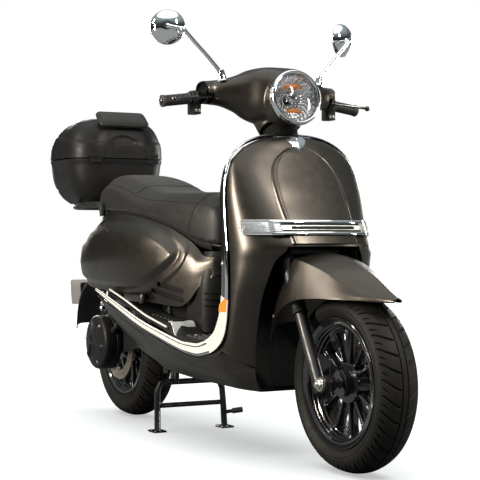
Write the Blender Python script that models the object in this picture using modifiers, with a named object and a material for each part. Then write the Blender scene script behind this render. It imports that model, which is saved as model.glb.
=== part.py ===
"""Electric moped scooter on its centre stand, as separate sub-parts on jointed bodies.

Metres, +Z up, +X forward, +Y the rider's left. The ground is Z = 0. Coordinates in this file are
measured from the point midway between the two axles; the empty "scooter" then shifts the whole
assembly so that its bounding box is centred on the origin.
"""
import math

import bmesh
import bpy
from mathutils import Matrix, Vector

# ---- driving dimensions ----
WHEELBASE = 1.380
WHEEL_R = 0.2365
RIM_R = 0.1525
FLANGE_R = 0.1700
AXLE_R = 0.0100
WHEEL_SEGMENTS = 32
DISC_R = 0.110
DISC_T = 0.004

CASTER = math.radians(27)
STEM_TOP = Vector((0.260, 0, 1.000))      # where the steering axis meets the handlebar
STEM_R = 0.013
LEG_Y = 0.090                             # fork legs, either side
LEG_FORWARD = 0.010                       # fork legs ahead of the steering axis
SLIDER_R = 0.0165
SLEEVE_R = 0.0195

PANEL = 0.004                             # thickness of the moulded panels
GAP = 0.0008                              # least gap between neighbouring pieces

SWING_PIVOT = Vector((-0.360, 0, 0.285))
SHOCK_Y = 0.136
SHOCK_TOP = Vector((-0.590, 0, 0.600))
SHOCK_FOOT = Vector((-0.625, 0, 0.378))
MOTOR_CENTRE = Vector((-0.632, 0, 0.262))
MOTOR_R = 0.0915
STAND_PIVOT = Vector((-0.250, 0, 0.205))
SIDE_STAND_PIVOT = Vector((-0.060, 0.134, 0.228))

CASE_FRONT_X = -0.785
CASE_REAR_X = -1.1205
CASE_SPLIT_Z = 0.896
SEAT_PIVOT = Vector((0.062, 0, 0.592))
PEG_PIVOT = Vector((-0.215, 0.190, 0.392))

GRIP_INNER = Vector((0.2100, 0.215, 1.0140))
GRIP_OUTER = Vector((0.2040, 0.323, 1.0000))
GRIP_R = 0.017
BAR_R = 0.011
LEVER_PIVOT = Vector((0.246, 0.186, 1.0145))
LEVER_TILT = math.radians(6)
MIRROR_STEM_TOP = Vector((0.243, 0.273, 1.199))
MIRROR_CENTRE = Vector((0.182, 0.296, 1.214))
MIRROR_R = 0.050
MIRROR_TOE_IN = math.radians(28.6)
HEADLIGHT = Vector((0.393, 0, 1.008))
HEADLIGHT_TILT = math.radians(8)
HEADLIGHT_R = 0.076

FRONT_AXLE = Vector((WHEELBASE / 2, 0, WHEEL_R))
REAR_AXLE = Vector((-WHEELBASE / 2, 0, WHEEL_R))
FRAME_X = -(FRONT_AXLE.x + WHEEL_R + CASE_REAR_X) / 2
SIDES = {"right": -1, "left": 1}
AXIS_Y = Vector((0, 1, 0))

for old in list(bpy.data.objects):
    bpy.data.objects.remove(old, do_unlink=True)


def collection(name):
    made = bpy.data.collections.new(name)
    bpy.context.scene.collection.children.link(made)
    return made


PARTS = collection("moped_scooter")
CUTTERS = collection("cutters")
CUTTERS.hide_render = True


def material(name, color, roughness, metallic=0.0):
    made = bpy.data.materials.new(name)
    made.use_nodes = True
    shader = made.node_tree.nodes["Principled BSDF"]
    shader.inputs["Base Color"].default_value = (*color, 1)
    shader.inputs["Roughness"].default_value = roughness
    shader.inputs["Metallic"].default_value = metallic
    return made


BLACK_PAINT = material("satin_black_paint", (0.030, 0.028, 0.026), 0.42, 0.3)
GLOSS_BLACK = material("gloss_black", (0.010, 0.010, 0.011), 0.15)
BLACK_PLASTIC = material("black_plastic", (0.020, 0.020, 0.020), 0.65)
CHROME = material("chrome", (0.80, 0.80, 0.80), 0.08, 1.0)
STEEL = material("steel", (0.45, 0.45, 0.46), 0.35, 1.0)
ALUMINIUM = material("aluminium", (0.60, 0.60, 0.60), 0.40, 1.0)
DISC_STEEL = material("disc_steel", (0.66, 0.50, 0.36), 0.35, 1.0)
RUBBER = material("rubber", (0.015, 0.015, 0.015), 0.80)
SEAT_COVER = material("seat_cover", (0.018, 0.018, 0.018), 0.60)
CLEAR = material("clear_lens", (0.90, 0.90, 0.90), 0.05)

# ---- bodies: an empty on each joint's axis ----
PIVOT = {}
EMPTY = {}


def body(name, pivot, parent=None):
    """An empty at the joint, parented to the body it moves against."""
    empty = bpy.data.objects.new("body_" + name, None)
    PARTS.objects.link(empty)
    PIVOT[name] = Vector(pivot)
    EMPTY[name] = empty
    if parent:
        empty.parent = EMPTY[parent]
        empty.location = PIVOT[name] - PIVOT[parent]
    else:
        empty.location = Vector((FRAME_X, 0, 0))


def steer(t, q=0.0, y=0.0):
    """A point t up the steering axis from its top, q ahead of it and y to the side."""
    return Vector((
        STEM_TOP.x - t * math.sin(CASTER) + q * math.cos(CASTER),
        y,
        STEM_TOP.z + t * math.cos(CASTER) + q * math.sin(CASTER),
    ))


def mirrored(point, side):
    return Vector((point[0], point[1] * side, point[2]))


SHOCK_LINE = (SHOCK_TOP - SHOCK_FOOT).normalized()
GRIP_LINE = (GRIP_OUTER - GRIP_INNER).normalized()

body("chassis", (0, 0, 0))
body("steering", steer(-0.30), "chassis")
body("fork", steer(-0.60), "steering")
body("front_wheel", FRONT_AXLE, "fork")
body("throttle", mirrored(GRIP_INNER, -1), "steering")
body("lever_right", mirrored(LEVER_PIVOT, -1), "steering")
body("lever_left", LEVER_PIVOT, "steering")
body("mirror_right", mirrored(MIRROR_STEM_TOP, -1), "steering")
body("mirror_left", MIRROR_STEM_TOP, "steering")
body("start_switch", (0.19, -0.226, 0.985), "steering")
body("horn_switch", (0.19, 0.226, 0.985), "steering")
body("swingarm", SWING_PIVOT, "chassis")
body("rear_wheel", REAR_AXLE, "swingarm")
body("shock_upper", SHOCK_TOP, "chassis")
body("shock_lower", SHOCK_FOOT, "shock_upper")
body("centre_stand", STAND_PIVOT, "chassis")
body("side_stand", SIDE_STAND_PIVOT, "chassis")
body("seat", SEAT_PIVOT, "chassis")
body("case_lid", (CASE_FRONT_X + 0.004, 0, CASE_SPLIT_Z), "chassis")
body("peg_right", mirrored(PEG_PIVOT, -1), "chassis")
body("peg_left", PEG_PIVOT, "chassis")


# ---- building blocks ----
def add(name, mesh, location=(0, 0, 0), direction=None):
    """A new object; its local Z is turned to the given direction."""
    obj = bpy.data.objects.new(name, mesh)
    PARTS.objects.link(obj)
    obj.location = Vector(location)
    if direction is not None:
        obj.rotation_mode = "QUATERNION"
        obj.rotation_quaternion = Vector((0, 0, 1)).rotation_difference(Vector(direction))
    return obj


def place(obj, to_body, finish):
    """Parents a finished piece to its body's empty, where it stands, and gives it its material."""
    obj.parent = EMPTY[to_body]
    obj.location = obj.location - PIVOT[to_body]
    obj.data.materials.clear()
    obj.data.materials.append(finish)
    if obj.type == "MESH":
        obj.data.shade_smooth()
    for modifier in obj.modifiers:
        if modifier.type == "BOOLEAN":
            helper = modifier.object
            helper.parent = EMPTY[to_body]
            helper.location = helper.location - PIVOT[to_body]
    return obj


def combine(obj, helper, operation):
    """Joins or cuts obj with a helper, which goes with the cutters."""
    PARTS.objects.unlink(helper)
    CUTTERS.objects.link(helper)
    helper.hide_render = True
    helper.display_type = "WIRE"
    modifier = obj.modifiers.new(operation.lower() + "_" + helper.name, "BOOLEAN")
    modifier.operation = operation
    modifier.solver = "EXACT"
    modifier.object = helper
    return obj


def join(obj, *helpers):
    for helper in helpers:
        combine(obj, helper, "UNION")
    return obj


def cut(obj, *helpers):
    for helper in helpers:
        combine(obj, helper, "DIFFERENCE")
    return obj


def bevel(obj, width, segments=1):
    modifier = obj.modifiers.new("bevel", "BEVEL")
    modifier.width = width
    modifier.segments = segments
    modifier.limit_method = "ANGLE"
    return obj


def mesh_of(name, build):
    mesh = bpy.data.meshes.new(name)
    bm = bmesh.new()
    build(bm)
    bm.to_mesh(mesh)
    bm.free()
    return mesh


def block(name, low, high, round_by=0.0):
    """A box between two corners."""
    low, high = Vector(low), Vector(high)
    size = high - low

    def build(bm):
        bmesh.ops.create_cube(bm, size=1)
        bmesh.ops.scale(bm, vec=size, verts=bm.verts)

    obj = add(name, mesh_of(name, build), (low + high) / 2)
    return bevel(obj, round_by, 2) if round_by else obj


def rod(name, start, end, radius, sides=12, end_radius=None):
    """A cylinder, or a cone, from one point to another."""
    start, end = Vector(start), Vector(end)

    def build(bm):
        bmesh.ops.create_cone(
            bm, cap_ends=True, segments=sides, radius1=radius,
            radius2=radius if end_radius is None else end_radius, depth=(end - start).length,
        )

    return add(name, mesh_of(name, build), (start + end) / 2, end - start)


def turned(name, profile, centre, direction, steps=WHEEL_SEGMENTS, closed=True):
    """A body of revolution; the profile is (radius, height along direction), down its outer side."""
    def build(bm):
        verts = [bm.verts.new((r, 0, h)) for r, h in profile]
        for a, b in zip(verts, verts[1:]):
            bm.edges.new((a, b))
        if closed:
            bm.edges.new((verts[-1], verts[0]))

    obj = add(name, mesh_of(name, build), centre, direction)
    screw = obj.modifiers.new("turn", "SCREW")
    screw.steps = steps
    screw.render_steps = steps
    screw.use_merge_vertices = True
    screw.merge_threshold = 0.00005
    screw.use_normal_calculate = False
    return obj


def smooth(points, per_span=4):
    """Points along a Catmull-Rom curve through the given ones."""
    points = [Vector(p) for p in points]
    path = []
    for i in range(len(points) - 1):
        p0, p3 = points[max(i - 1, 0)], points[min(i + 2, len(points) - 1)]
        p1, p2 = points[i], points[i + 1]
        for step in range(per_span):
            t = step / per_span
            path.append(0.5 * (
                2 * p1 + (p2 - p0) * t + (2 * p0 - 5 * p1 + 4 * p2 - p3) * t * t
                + (3 * p1 - p0 - 3 * p2 + p3) * t * t * t
            ))
    path.append(points[-1])
    return path


def tube(name, points, radius, resolution=2):
    """A round tube along a path, made a mesh so that it can be joined and cut."""
    curve = bpy.data.curves.new(name, "CURVE")
    curve.dimensions = "3D"
    curve.bevel_depth = radius
    curve.bevel_resolution = resolution
    curve.use_fill_caps = True
    spline = curve.splines.new("POLY")
    spline.points.add(len(points) - 1)
    for knot, point in zip(spline.points, points):
        knot.co = (*point, 1)
    source = add(name + "_path", curve)
    graph = bpy.context.evaluated_depsgraph_get()
    mesh = bpy.data.meshes.new_from_object(source.evaluated_get(graph))
    bm = bmesh.new()
    bm.from_mesh(mesh)
    bmesh.ops.remove_doubles(bm, verts=bm.verts, dist=0.00001)
    bmesh.ops.recalc_face_normals(bm, faces=bm.faces)
    bm.to_mesh(mesh)
    bm.free()
    bpy.data.objects.remove(source, do_unlink=True)
    return add(name, mesh)


def loft(name, rings):
    """A closed solid through rings of equally many points, with flat ends."""
    def build(bm):
        rows = [[bm.verts.new(p) for p in ring] for ring in rings]
        for a, b in zip(rows, rows[1:]):
            for i in range(len(a)):
                j = (i + 1) % len(a)
                bm.faces.new((a[i], a[j], b[j], b[i]))
        bm.faces.new(list(reversed(rows[0])))
        bm.faces.new(rows[-1])
        bmesh.ops.recalc_face_normals(bm, faces=bm.faces)

    return add(name, mesh_of(name, build))


def sheet(name, rows, thickness=PANEL, mirror=False, skip=None):
    """A shell: an open grid of points, mirrored in Y if asked, then thickened both ways."""
    def build(bm):
        verts = [[bm.verts.new(p) for p in row] for row in rows]
        for i in range(len(rows) - 1):
            for j in range(len(rows[0]) - 1):
                if skip and skip(i, j):
                    continue
                bm.faces.new((verts[i][j], verts[i][j + 1], verts[i + 1][j + 1], verts[i + 1][j]))
        bmesh.ops.delete(bm, geom=[v for v in bm.verts if not v.link_faces], context="VERTS")

    obj = add(name, mesh_of(name, build))
    if mirror:
        halves = obj.modifiers.new("mirror", "MIRROR")
        halves.use_axis = (False, True, False)
        halves.merge_threshold = 0.00005
    wall = obj.modifiers.new("wall", "SOLIDIFY")
    wall.thickness = thickness
    wall.offset = 0
    return obj


def lerp(table, x):
    """The value of a piecewise-linear table of (key, value) pairs."""
    if x <= table[0][0]:
        return table[0][1]
    for (x0, v0), (x1, v1) in zip(table, table[1:]):
        if x <= x1:
            return v0 + (v1 - v0) * (x - x0) / (x1 - x0)
    return table[-1][1]


def superellipse(cx, cz, a, b, y, count, power=0.8):
    """A ring of points round (cx, y, cz) in a plane across Y."""
    ring = []
    for i in range(count):
        angle = 2 * math.pi * i / count
        c, s = math.cos(angle), math.sin(angle)
        ring.append((
            cx + a * math.copysign(abs(c) ** power, c), y, cz + b * math.copysign(abs(s) ** power, s),
        ))
    return ring


# ---- wheels and brakes ----
TYRE_OUTER = [(0.2325, 0.0235), (0.2220, 0.0460), (0.2020, 0.0595), (0.1840, 0.0580), (0.1712, 0.0470),
              (0.1533, 0.0470)]


def tyre(name, centre):
    half = [(0.1533, 0.0330), (0.1900, 0.0460), (0.2270, 0.0200)]
    outer = [(r, -h) for r, h in reversed(TYRE_OUTER)] + [(WHEEL_R, 0.0)] + TYRE_OUTER
    inner = half + [(r, -h) for r, h in reversed(half)]
    return turned(name, list(reversed(outer + inner)), centre, AXIS_Y)


def rim(name, centre):
    """Hub, spoked web and barrel of one cast wheel."""
    half = [(AXLE_R + GAP, 0.0450), (0.0340, 0.0450), (0.0480, 0.0080), (0.1400, 0.0080), (0.1455, 0.0500),
            (0.1560, 0.0530), (FLANGE_R, 0.0530), (FLANGE_R, 0.0480), (RIM_R, 0.0480)]
    return turned(name, half + [(r, -h) for r, h in reversed(half)], centre, AXIS_Y)


def brake_disc(name, centre, side):
    """A flat disc beside the hub, on a short boss."""
    face = 0.0590
    profile = [(AXLE_R + GAP, 0.0455), (0.0400, 0.0455), (0.0400, face), (DISC_R, face),
               (DISC_R, face + DISC_T), (AXLE_R + GAP, face + DISC_T)]
    return turned(name, list(reversed(profile)), centre, AXIS_Y * side)


def caliper(name, axle, side, angle, outer):
    """A caliper that straddles the disc's edge, at an angle up from the rearward direction."""
    turn = Matrix.Rotation(angle - math.pi / 2, 4, "Y")
    middle = axle + turn @ Vector((0, 0, 0.098))

    def piece(label, low, high):
        y0, y1 = sorted((low[1] * side, high[1] * side))
        made = block(label, (low[0], y0, low[2]), (high[0], y1, high[2]))
        centre = made.location.copy()
        made.rotation_mode = "QUATERNION"
        made.rotation_quaternion = turn.to_quaternion()
        made.location = middle + turn @ centre
        return made

    body_block = piece(name, (-0.027, 0.0545, -0.022), (0.027, outer, 0.022))
    return cut(body_block, piece(name + "_slot", (-0.040, 0.0575, -0.040), (0.040, 0.0648, 0.0130)))


place(tyre("front_tyre", FRONT_AXLE), "front_wheel", RUBBER)
place(rim("front_rim", FRONT_AXLE), "front_wheel", GLOSS_BLACK)
place(brake_disc("front_disc", FRONT_AXLE, 1), "front_wheel", DISC_STEEL)
place(tyre("rear_tyre", REAR_AXLE), "rear_wheel", RUBBER)
place(rim("rear_rim", REAR_AXLE), "rear_wheel", GLOSS_BLACK)
place(brake_disc("rear_disc", REAR_AXLE, -1), "rear_wheel", DISC_STEEL)


# ---- front fork ----
def fork_upper():
    """Steering stem, lower crown and the two sleeves that the sliders run in."""
    stem = rod("fork_upper", steer(-0.482), steer(-0.030), STEM_R, 16)
    crown = rod("crown", steer(-0.478, LEG_FORWARD, -LEG_Y), steer(-0.478, LEG_FORWARD, LEG_Y), 0.015, 12)
    join(stem, crown)
    for name, side in SIDES.items():
        y = LEG_Y * side
        sleeve = rod("sleeve_" + name, steer(-0.655, LEG_FORWARD, y), steer(-0.466, LEG_FORWARD, y),
                     SLEEVE_R, 16)
        bore = rod("bore_" + name, steer(-0.700, LEG_FORWARD, y), steer(-0.495, LEG_FORWARD, y),
                   SLIDER_R + 0.0010, 16)
        join(stem, sleeve)
        cut(stem, bore)
    return place(stem, "steering", BLACK_PLASTIC)


def fork_slider(name, side):
    """A fork slider with the lug that carries the axle ahead of it."""
    y = LEG_Y * side
    leg = rod("fork_slider_" + name, steer(-0.890, LEG_FORWARD, y), steer(-0.575, LEG_FORWARD, y),
              SLIDER_R, 16)
    lug = rod("axle_lug_" + name, FRONT_AXLE + Vector((0, y - 0.013, 0)),
              FRONT_AXLE + Vector((0, y + 0.013, 0)), 0.022, 12)
    join(leg, lug)
    if side > 0:
        axle = rod("front_axle", FRONT_AXLE + Vector((0, y, 0)), FRONT_AXLE + Vector((0, -LEG_Y + 0.014, 0)),
                   AXLE_R, 16)
        join(leg, axle)
    return place(leg, "fork", ALUMINIUM)


fork_upper()
fork_slider("right", -1)
fork_slider("left", 1)
place(caliper("front_caliper", FRONT_AXLE, 1, math.radians(38), 0.0725), "fork", BLACK_PLASTIC)

# Front mudguard: stations from the tip to the rear, each (ridge), (crease), (lip) as x, y, z.
MUDGUARD = [
    ((0.893, 0, 0.463), (0.892, 0.007, 0.461), (0.889, 0.012, 0.456)),
    ((0.862, 0, 0.478), (0.853, 0.024, 0.464), (0.849, 0.028, 0.455)),
    ((0.805, 0, 0.508), (0.800, 0.050, 0.471), (0.797, 0.057, 0.457)),
    ((0.740, 0, 0.536), (0.735, 0.067, 0.500), (0.738, 0.088, 0.458)),
    ((0.670, 0, 0.557), (0.660, 0.078, 0.528), (0.664, 0.108, 0.458)),
    ((0.600, 0, 0.571), (0.590, 0.089, 0.549), (0.594, 0.120, 0.452)),
    ((0.540, 0, 0.574), (0.530, 0.092, 0.557), (0.535, 0.123, 0.432)),
    ((0.490, 0, 0.560), (0.488, 0.091, 0.545), (0.482, 0.118, 0.400)),
    ((0.455, 0, 0.520), (0.455, 0.089, 0.505), (0.440, 0.106, 0.362)),
    ((0.428, 0, 0.455), (0.431, 0.084, 0.440), (0.420, 0.092, 0.330)),
    ((0.408, 0, 0.385), (0.412, 0.074, 0.375), (0.407, 0.080, 0.312)),
]


def mudguard_rows():
    rows = []
    for ridge, crease, lip in MUDGUARD:
        ridge, crease, lip = Vector(ridge), Vector(crease), Vector(lip)
        crown = ridge.lerp(crease, 0.5) + Vector((0, 0, (ridge.z - crease.z) * 0.30))
        flank = crease.lerp(lip, 0.5) + Vector((0, 0.004, 0))
        rows.append([ridge, crown, crease, flank, lip])
    return rows


def front_mudguard():
    """The mudguard hangs from the fork crown; the two sleeves pass through it."""
    guard = sheet("front_mudguard", mudguard_rows(), mirror=True)
    for name, side in SIDES.items():
        y = LEG_Y * side
        cut(guard, rod("sleeve_hole_" + name, steer(-0.640, LEG_FORWARD, y), steer(-0.440, LEG_FORWARD, y),
                       SLEEVE_R + 0.0015, 16))
    return place(guard, "steering", BLACK_PAINT)


front_mudguard()


# ---- handlebar and headset ----
def lever_axis(side):
    """The pin's direction: square to a blade that slopes down with the grip."""
    return Vector((0, math.sin(LEVER_TILT) * side, math.cos(LEVER_TILT)))


def handlebar():
    right = [mirrored(GRIP_OUTER, -1), mirrored(GRIP_INNER, -1), (0.232, -0.130, 1.020)]
    left = [mirrored(Vector(p), -1) for p in reversed(right)]
    path = right + [(0.262, -0.045, 1.008), (0.262, 0.045, 1.008)] + left
    bar = tube("handlebar", path, BAR_R)
    join(bar, rod("stem_clamp", steer(-0.028), steer(0.030), 0.020, 12))
    for name, side in SIDES.items():
        y0, y1 = sorted((0.2135 * side, 0.236 * side))
        join(bar, block("switch_block_" + name, (0.190, y0, 0.966), (0.2300, y1, 1.030)))
        y0, y1 = sorted((0.177 * side, 0.195 * side))
        join(bar, block("lever_perch_" + name, (0.2130, y0, 1.0035), (0.251, y1, 1.0085)))
        pivot, axis = mirrored(LEVER_PIVOT, side), lever_axis(side)
        join(bar, rod("lever_pin_" + name, pivot - axis * 0.010, pivot + axis * 0.006, 0.004, 10))
    return place(bar, "steering", BLACK_PLASTIC)


def grip(name, side, to_body):
    start = GRIP_INNER + GRIP_LINE * 0.024
    length = (GRIP_OUTER - start).length + 0.003
    profile = [(BAR_R + 0.0008, 0), (GRIP_R, 0), (GRIP_R, 0.010), (GRIP_R - 0.002, 0.014),
               (GRIP_R - 0.002, length - 0.012), (GRIP_R, length - 0.008), (GRIP_R, length),
               (BAR_R + 0.0008, length)]
    direction = mirrored(GRIP_LINE, side)
    return place(turned(name, list(reversed(profile)), mirrored(start, side), direction, 16), to_body, RUBBER)


def lever(name, side):
    """A flat blade with an eye round its pin and a ball at its tip."""
    outline = [(-0.009, -0.009), (0.009, -0.009), (0.011, 0.014), (0.016, 0.050),
               (0.033, 0.112), (0.035, 0.130),
               (0.025, 0.131), (0.022, 0.112), (0.004, 0.055), (-0.008, 0.016)]
    half = 0.0040

    def build(bm):
        low = [bm.verts.new((x, y * side, -half)) for x, y in outline]
        high = [bm.verts.new((x, y * side, half)) for x, y in outline]
        bm.faces.new(low)
        bm.faces.new(list(reversed(high)))
        for i in range(len(outline)):
            j = (i + 1) % len(outline)
            bm.faces.new((low[j], low[i], high[i], high[j]))
        bmesh.ops.recalc_face_normals(bm, faces=bm.faces)

    def ball_mesh(bm):
        bmesh.ops.create_uvsphere(bm, u_segments=10, v_segments=7, radius=0.0080)

    pivot, axis = mirrored(LEVER_PIVOT, side), lever_axis(side)
    blade = add("brake_lever_" + name, mesh_of("brake_lever_" + name, build), pivot, axis)
    cut(blade, rod("lever_eye_" + name, pivot - axis * 0.02, pivot + axis * 0.02, 0.0048, 10))
    tilt = blade.rotation_quaternion
    ball_at = pivot + tilt @ Vector((0.0305, 0.134 * side, 0))
    join(blade, add("lever_ball_" + name, mesh_of("lever_ball_" + name, ball_mesh), ball_at))
    return place(blade, "lever_" + name, BLACK_PLASTIC)


# Headset: half of the arms' sections, as y, centre x, centre z, half length, half height.
HEADSET = [
    (0.000, 0.284, 1.018, 0.104, 0.084),
    (0.045, 0.281, 1.020, 0.100, 0.081),
    (0.080, 0.270, 1.023, 0.084, 0.071),
    (0.110, 0.256, 1.026, 0.062, 0.054),
    (0.150, 0.240, 1.028, 0.047, 0.039),
    (0.185, 0.230, 1.028, 0.041, 0.034),
    (0.210, 0.230, 1.027, 0.041, 0.032),
]


def headset():
    """A hollow cover round the bar, open at both arms, at the headlight and at the neck."""
    count = 14
    wall = 0.004

    def arms(name, inset, reach):
        stations = [(-y, *rest) for y, *rest in reversed(HEADSET[1:])] + HEADSET
        rings = [superellipse(cx, cz, a - inset, b - inset, y, count) for y, cx, cz, a, b in stations]
        first, last = rings[0], rings[-1]
        rings[0] = [(x, y - reach, z) for x, y, z in first]
        rings[-1] = [(x, y + reach, z) for x, y, z in last]
        return loft(name, rings)

    light_axis = Vector((math.cos(HEADLIGHT_TILT), 0, math.sin(HEADLIGHT_TILT)))
    barrel_back, barrel_front = HEADLIGHT - light_axis * 0.085, HEADLIGHT - light_axis * 0.006
    outer = arms("headset_cover", 0, 0)
    join(outer, rod("barrel", barrel_back, barrel_front, 0.074, 24, HEADLIGHT_R + 0.003))
    join(outer, rod("neck", steer(-0.088, 0.010), steer(-0.030, 0.010), 0.062, 18, 0.074))
    cut(outer, arms("arms_hollow", wall, 0.02))
    cut(outer, rod("barrel_hollow", barrel_back, barrel_front + light_axis * 0.01, 0.070, 24,
                   HEADLIGHT_R - 0.001))
    cut(outer, rod("neck_hollow", steer(-0.120, 0.010), steer(-0.030, 0.010), 0.053, 18, 0.070))
    for name, side in SIDES.items():
        y0, y1 = sorted((0.192 * side, 0.216 * side))
        cut(outer, block("lever_slot_" + name, (0.234, y0, 0.996), (0.280, y1, 1.0215)))
        mount = mirrored((0.258, 0.159, 1.04), side)
        cut(outer, rod("mirror_hole_" + name, mount - Vector((0, 0, 0.05)), mount + Vector((0, 0, 0.05)),
                       0.0075, 12))
    return place(outer, "steering", BLACK_PAINT)


def headlight():
    light_axis = Vector((math.cos(HEADLIGHT_TILT), 0, math.sin(HEADLIGHT_TILT)))
    ring = [(HEADLIGHT_R - 0.008, -0.004), (HEADLIGHT_R + 0.002, -0.004), (HEADLIGHT_R + 0.003, 0.004),
            (HEADLIGHT_R - 0.001, 0.012), (HEADLIGHT_R - 0.007, 0.010)]
    bezel = turned("headlight_bezel", list(reversed(ring)), HEADLIGHT, light_axis, 28)
    place(bezel, "steering", CHROME)
    r = HEADLIGHT_R - 0.0095
    dome = [(0, 0.024), (r * 0.45, 0.021), (r * 0.8, 0.013), (r, 0.002), (r, -0.004), (r * 0.6, -0.030),
            (0, -0.045)]
    place(turned("headlight_lens", dome, HEADLIGHT, light_axis, 28, closed=False), "steering", CLEAR)


def mirror(name, side):
    stem_path = smooth([
        mirrored((0.258, 0.159, 1.006 + 0.034), side), mirrored((0.258, 0.161, 1.075), side),
        mirrored((0.253, 0.195, 1.118), side), mirrored((0.246, 0.240, 1.165), side),
        mirrored(MIRROR_STEM_TOP, side),
    ], 3)
    stem = tube("mirror_stem_" + name, stem_path, 0.0055)
    base = mirrored((0.258, 0.159, 1.0685), side)
    join(stem, rod("mirror_base_" + name, base, base + Vector((0, 0.004 * side, 0.022)), 0.0125, 12, 0.008))
    place(stem, "steering", CHROME)
    facing = Vector((math.cos(MIRROR_TOE_IN), math.sin(MIRROR_TOE_IN) * side, 0))
    profile = [(0, 0.022), (0.018, 0.020), (0.036, 0.012), (0.047, 0.001), (MIRROR_R, -0.008),
               (MIRROR_R - 0.002, -0.012), (0, -0.012)]
    head = turned("mirror_head_" + name, profile, mirrored(MIRROR_CENTRE, side), facing, 24, closed=False)
    neck_start = mirrored(MIRROR_STEM_TOP, side) + facing * 0.0 + Vector((-0.008, 0.003 * side, 0.0035))
    neck_end = mirrored(MIRROR_CENTRE, side) + facing * 0.012
    join(head, rod("mirror_neck_" + name, neck_start, neck_end, 0.0050, 10))
    place(head, "mirror_" + name, CHROME)


def switch_button(name, side, to_body):
    centre = Vector((0.1845, 0.2260 * side, 0.985))
    knob = rod(name, centre, centre + Vector((0.0030, 0, 0)), 0.0065, 12)
    place(knob, to_body, BLACK_PLASTIC)


handlebar()
headset()
headlight()
grip("throttle_grip", -1, "throttle")
grip("left_grip", 1, "steering")
for side_name, side_sign in SIDES.items():
    lever(side_name, side_sign)
    mirror(side_name, side_sign)
switch_button("start_button", -1, "start_switch")
switch_button("horn_button", 1, "horn_switch")

# ---- front shield ----
# Stations from the neck down: outer edge beside the trim, then centre line, as x, y, z.
SHIELD_UPPER = [
    ((0.3640, 0.062, 0.894), (0.388, 0, 0.898)),
    ((0.3660, 0.108, 0.885), (0.400, 0, 0.880)),
    ((0.3690, 0.148, 0.866), (0.411, 0, 0.856)),
    ((0.3730, 0.181, 0.838), (0.426, 0, 0.826)),
    ((0.3770, 0.199, 0.806), (0.446, 0, 0.790)),
    ((0.3810, 0.208, 0.765), (0.470, 0, 0.750)),
    ((0.3870, 0.2125, 0.720), (0.494, 0, 0.708)),
    ((0.3950, 0.2135, 0.650), (0.530, 0, 0.650)),
    ((0.4040, 0.2140, 0.590), (0.562, 0, 0.592)),
]
# Wing stations below the nose: outer edge, then the edge of the wheel well.
SHIELD_WING = [
    ((0.4085, 0.2140, 0.545), (0.520, 0.138, 0.553)),
    ((0.4105, 0.2140, 0.500), (0.500, 0.150, 0.502)),
    ((0.4100, 0.2140, 0.445), (0.470, 0.152, 0.447)),
    ((0.4020, 0.2135, 0.388), (0.447, 0.152, 0.372)),
    ((0.3880, 0.2130, 0.345), (0.434, 0.151, 0.305)),
    ((0.3600, 0.2110, 0.302), (0.430, 0.148, 0.262)),
]
SHOULDER = [0.030, 0.050, 0.075, 0.100, 0.117, 0.123, 0.122, 0.118, 0.112]
SIDE_STEPS = 5


def section_point(edge, centre_x, y):
    """X on a rounded section that starts square to Y at its edge and ends level at its centre."""
    s = min(y / edge.y, 1.0) ** (1 / 0.9)
    return edge.x + (centre_x - edge.x) * max(1 - s * s, 0.0) ** 0.45


def shield_rows():
    """Half of the shield as rows of points from the centre line out to the edge."""
    rows = []
    for (edge, centre), shoulder in zip(SHIELD_UPPER, SHOULDER):
        edge, centre = Vector(edge), Vector(centre)
        start = math.asin((shoulder / edge.y) ** (1 / 0.9))
        ys = [0.0, shoulder * 0.5]
        for k in range(SIDE_STEPS + 1):
            angle = start + (math.pi / 2 - start) * k / SIDE_STEPS
            ys.append(edge.y * math.sin(angle) ** 0.9)
        rows.append([
            Vector((section_point(edge, centre.x, y), y, centre.z + (edge.z - centre.z) * (y / edge.y) ** 2))
            for y in ys
        ])
    for edge, well in SHIELD_WING:
        edge, well = Vector(edge), Vector(well)
        start = math.asin((well.y / edge.y) ** (1 / 0.9))
        centre_x = edge.x + (well.x - edge.x) / math.cos(start) ** 0.9
        row = [Vector((well.x, 0, well.z)), Vector((well.x, well.y / 2, well.z))]
        for k in range(SIDE_STEPS + 1):
            angle = start + (math.pi / 2 - start) * k / SIDE_STEPS
            y = edge.y * math.sin(angle) ** 0.9
            row.append(Vector((section_point(edge, centre_x, y), y,
                               well.z + (edge.z - well.z) * k / SIDE_STEPS)))
        rows.append(row)
    return rows


def open_wheel_well(i, j):
    return i >= len(SHIELD_UPPER) - 1 and j < 2


place(sheet("front_shield", shield_rows(), mirror=True, skip=open_wheel_well), "chassis", BLACK_PAINT)

# Raised nose panel: y of its edge at each height, in front of the shield.
NOSE = [(0.862, 0.034), (0.838, 0.078), (0.800, 0.104), (0.750, 0.112), (0.700, 0.110), (0.650, 0.106),
        (0.600, 0.101)]
NOSE_PROUD = 0.009
BAR_BAND = (0.625, 0.662)
SHIELD_EDGE_X = sorted((edge[2], edge[0]) for edge, centre in SHIELD_UPPER)
SHIELD_EDGE_Y = sorted((edge[2], edge[1]) for edge, centre in SHIELD_UPPER)
SHIELD_CENTRE = sorted((centre[2], centre[0]) for edge, centre in SHIELD_UPPER)


def shield_x(z, y):
    """The shield's outer surface at a height and a distance from the centre."""
    edge = Vector((lerp(SHIELD_EDGE_X, z), lerp(SHIELD_EDGE_Y, z), z))
    return section_point(edge, lerp(SHIELD_CENTRE, z), y)


def nose_rows():
    rows = []
    for z, half in NOSE:
        rows.append([
            Vector((shield_x(z, half * k / 4) + NOSE_PROUD, half * k / 4, z)) for k in range(5)
        ])
    return rows


place(sheet("nose_panel", nose_rows(), 0.003, mirror=True), "chassis", BLACK_PAINT)


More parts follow.
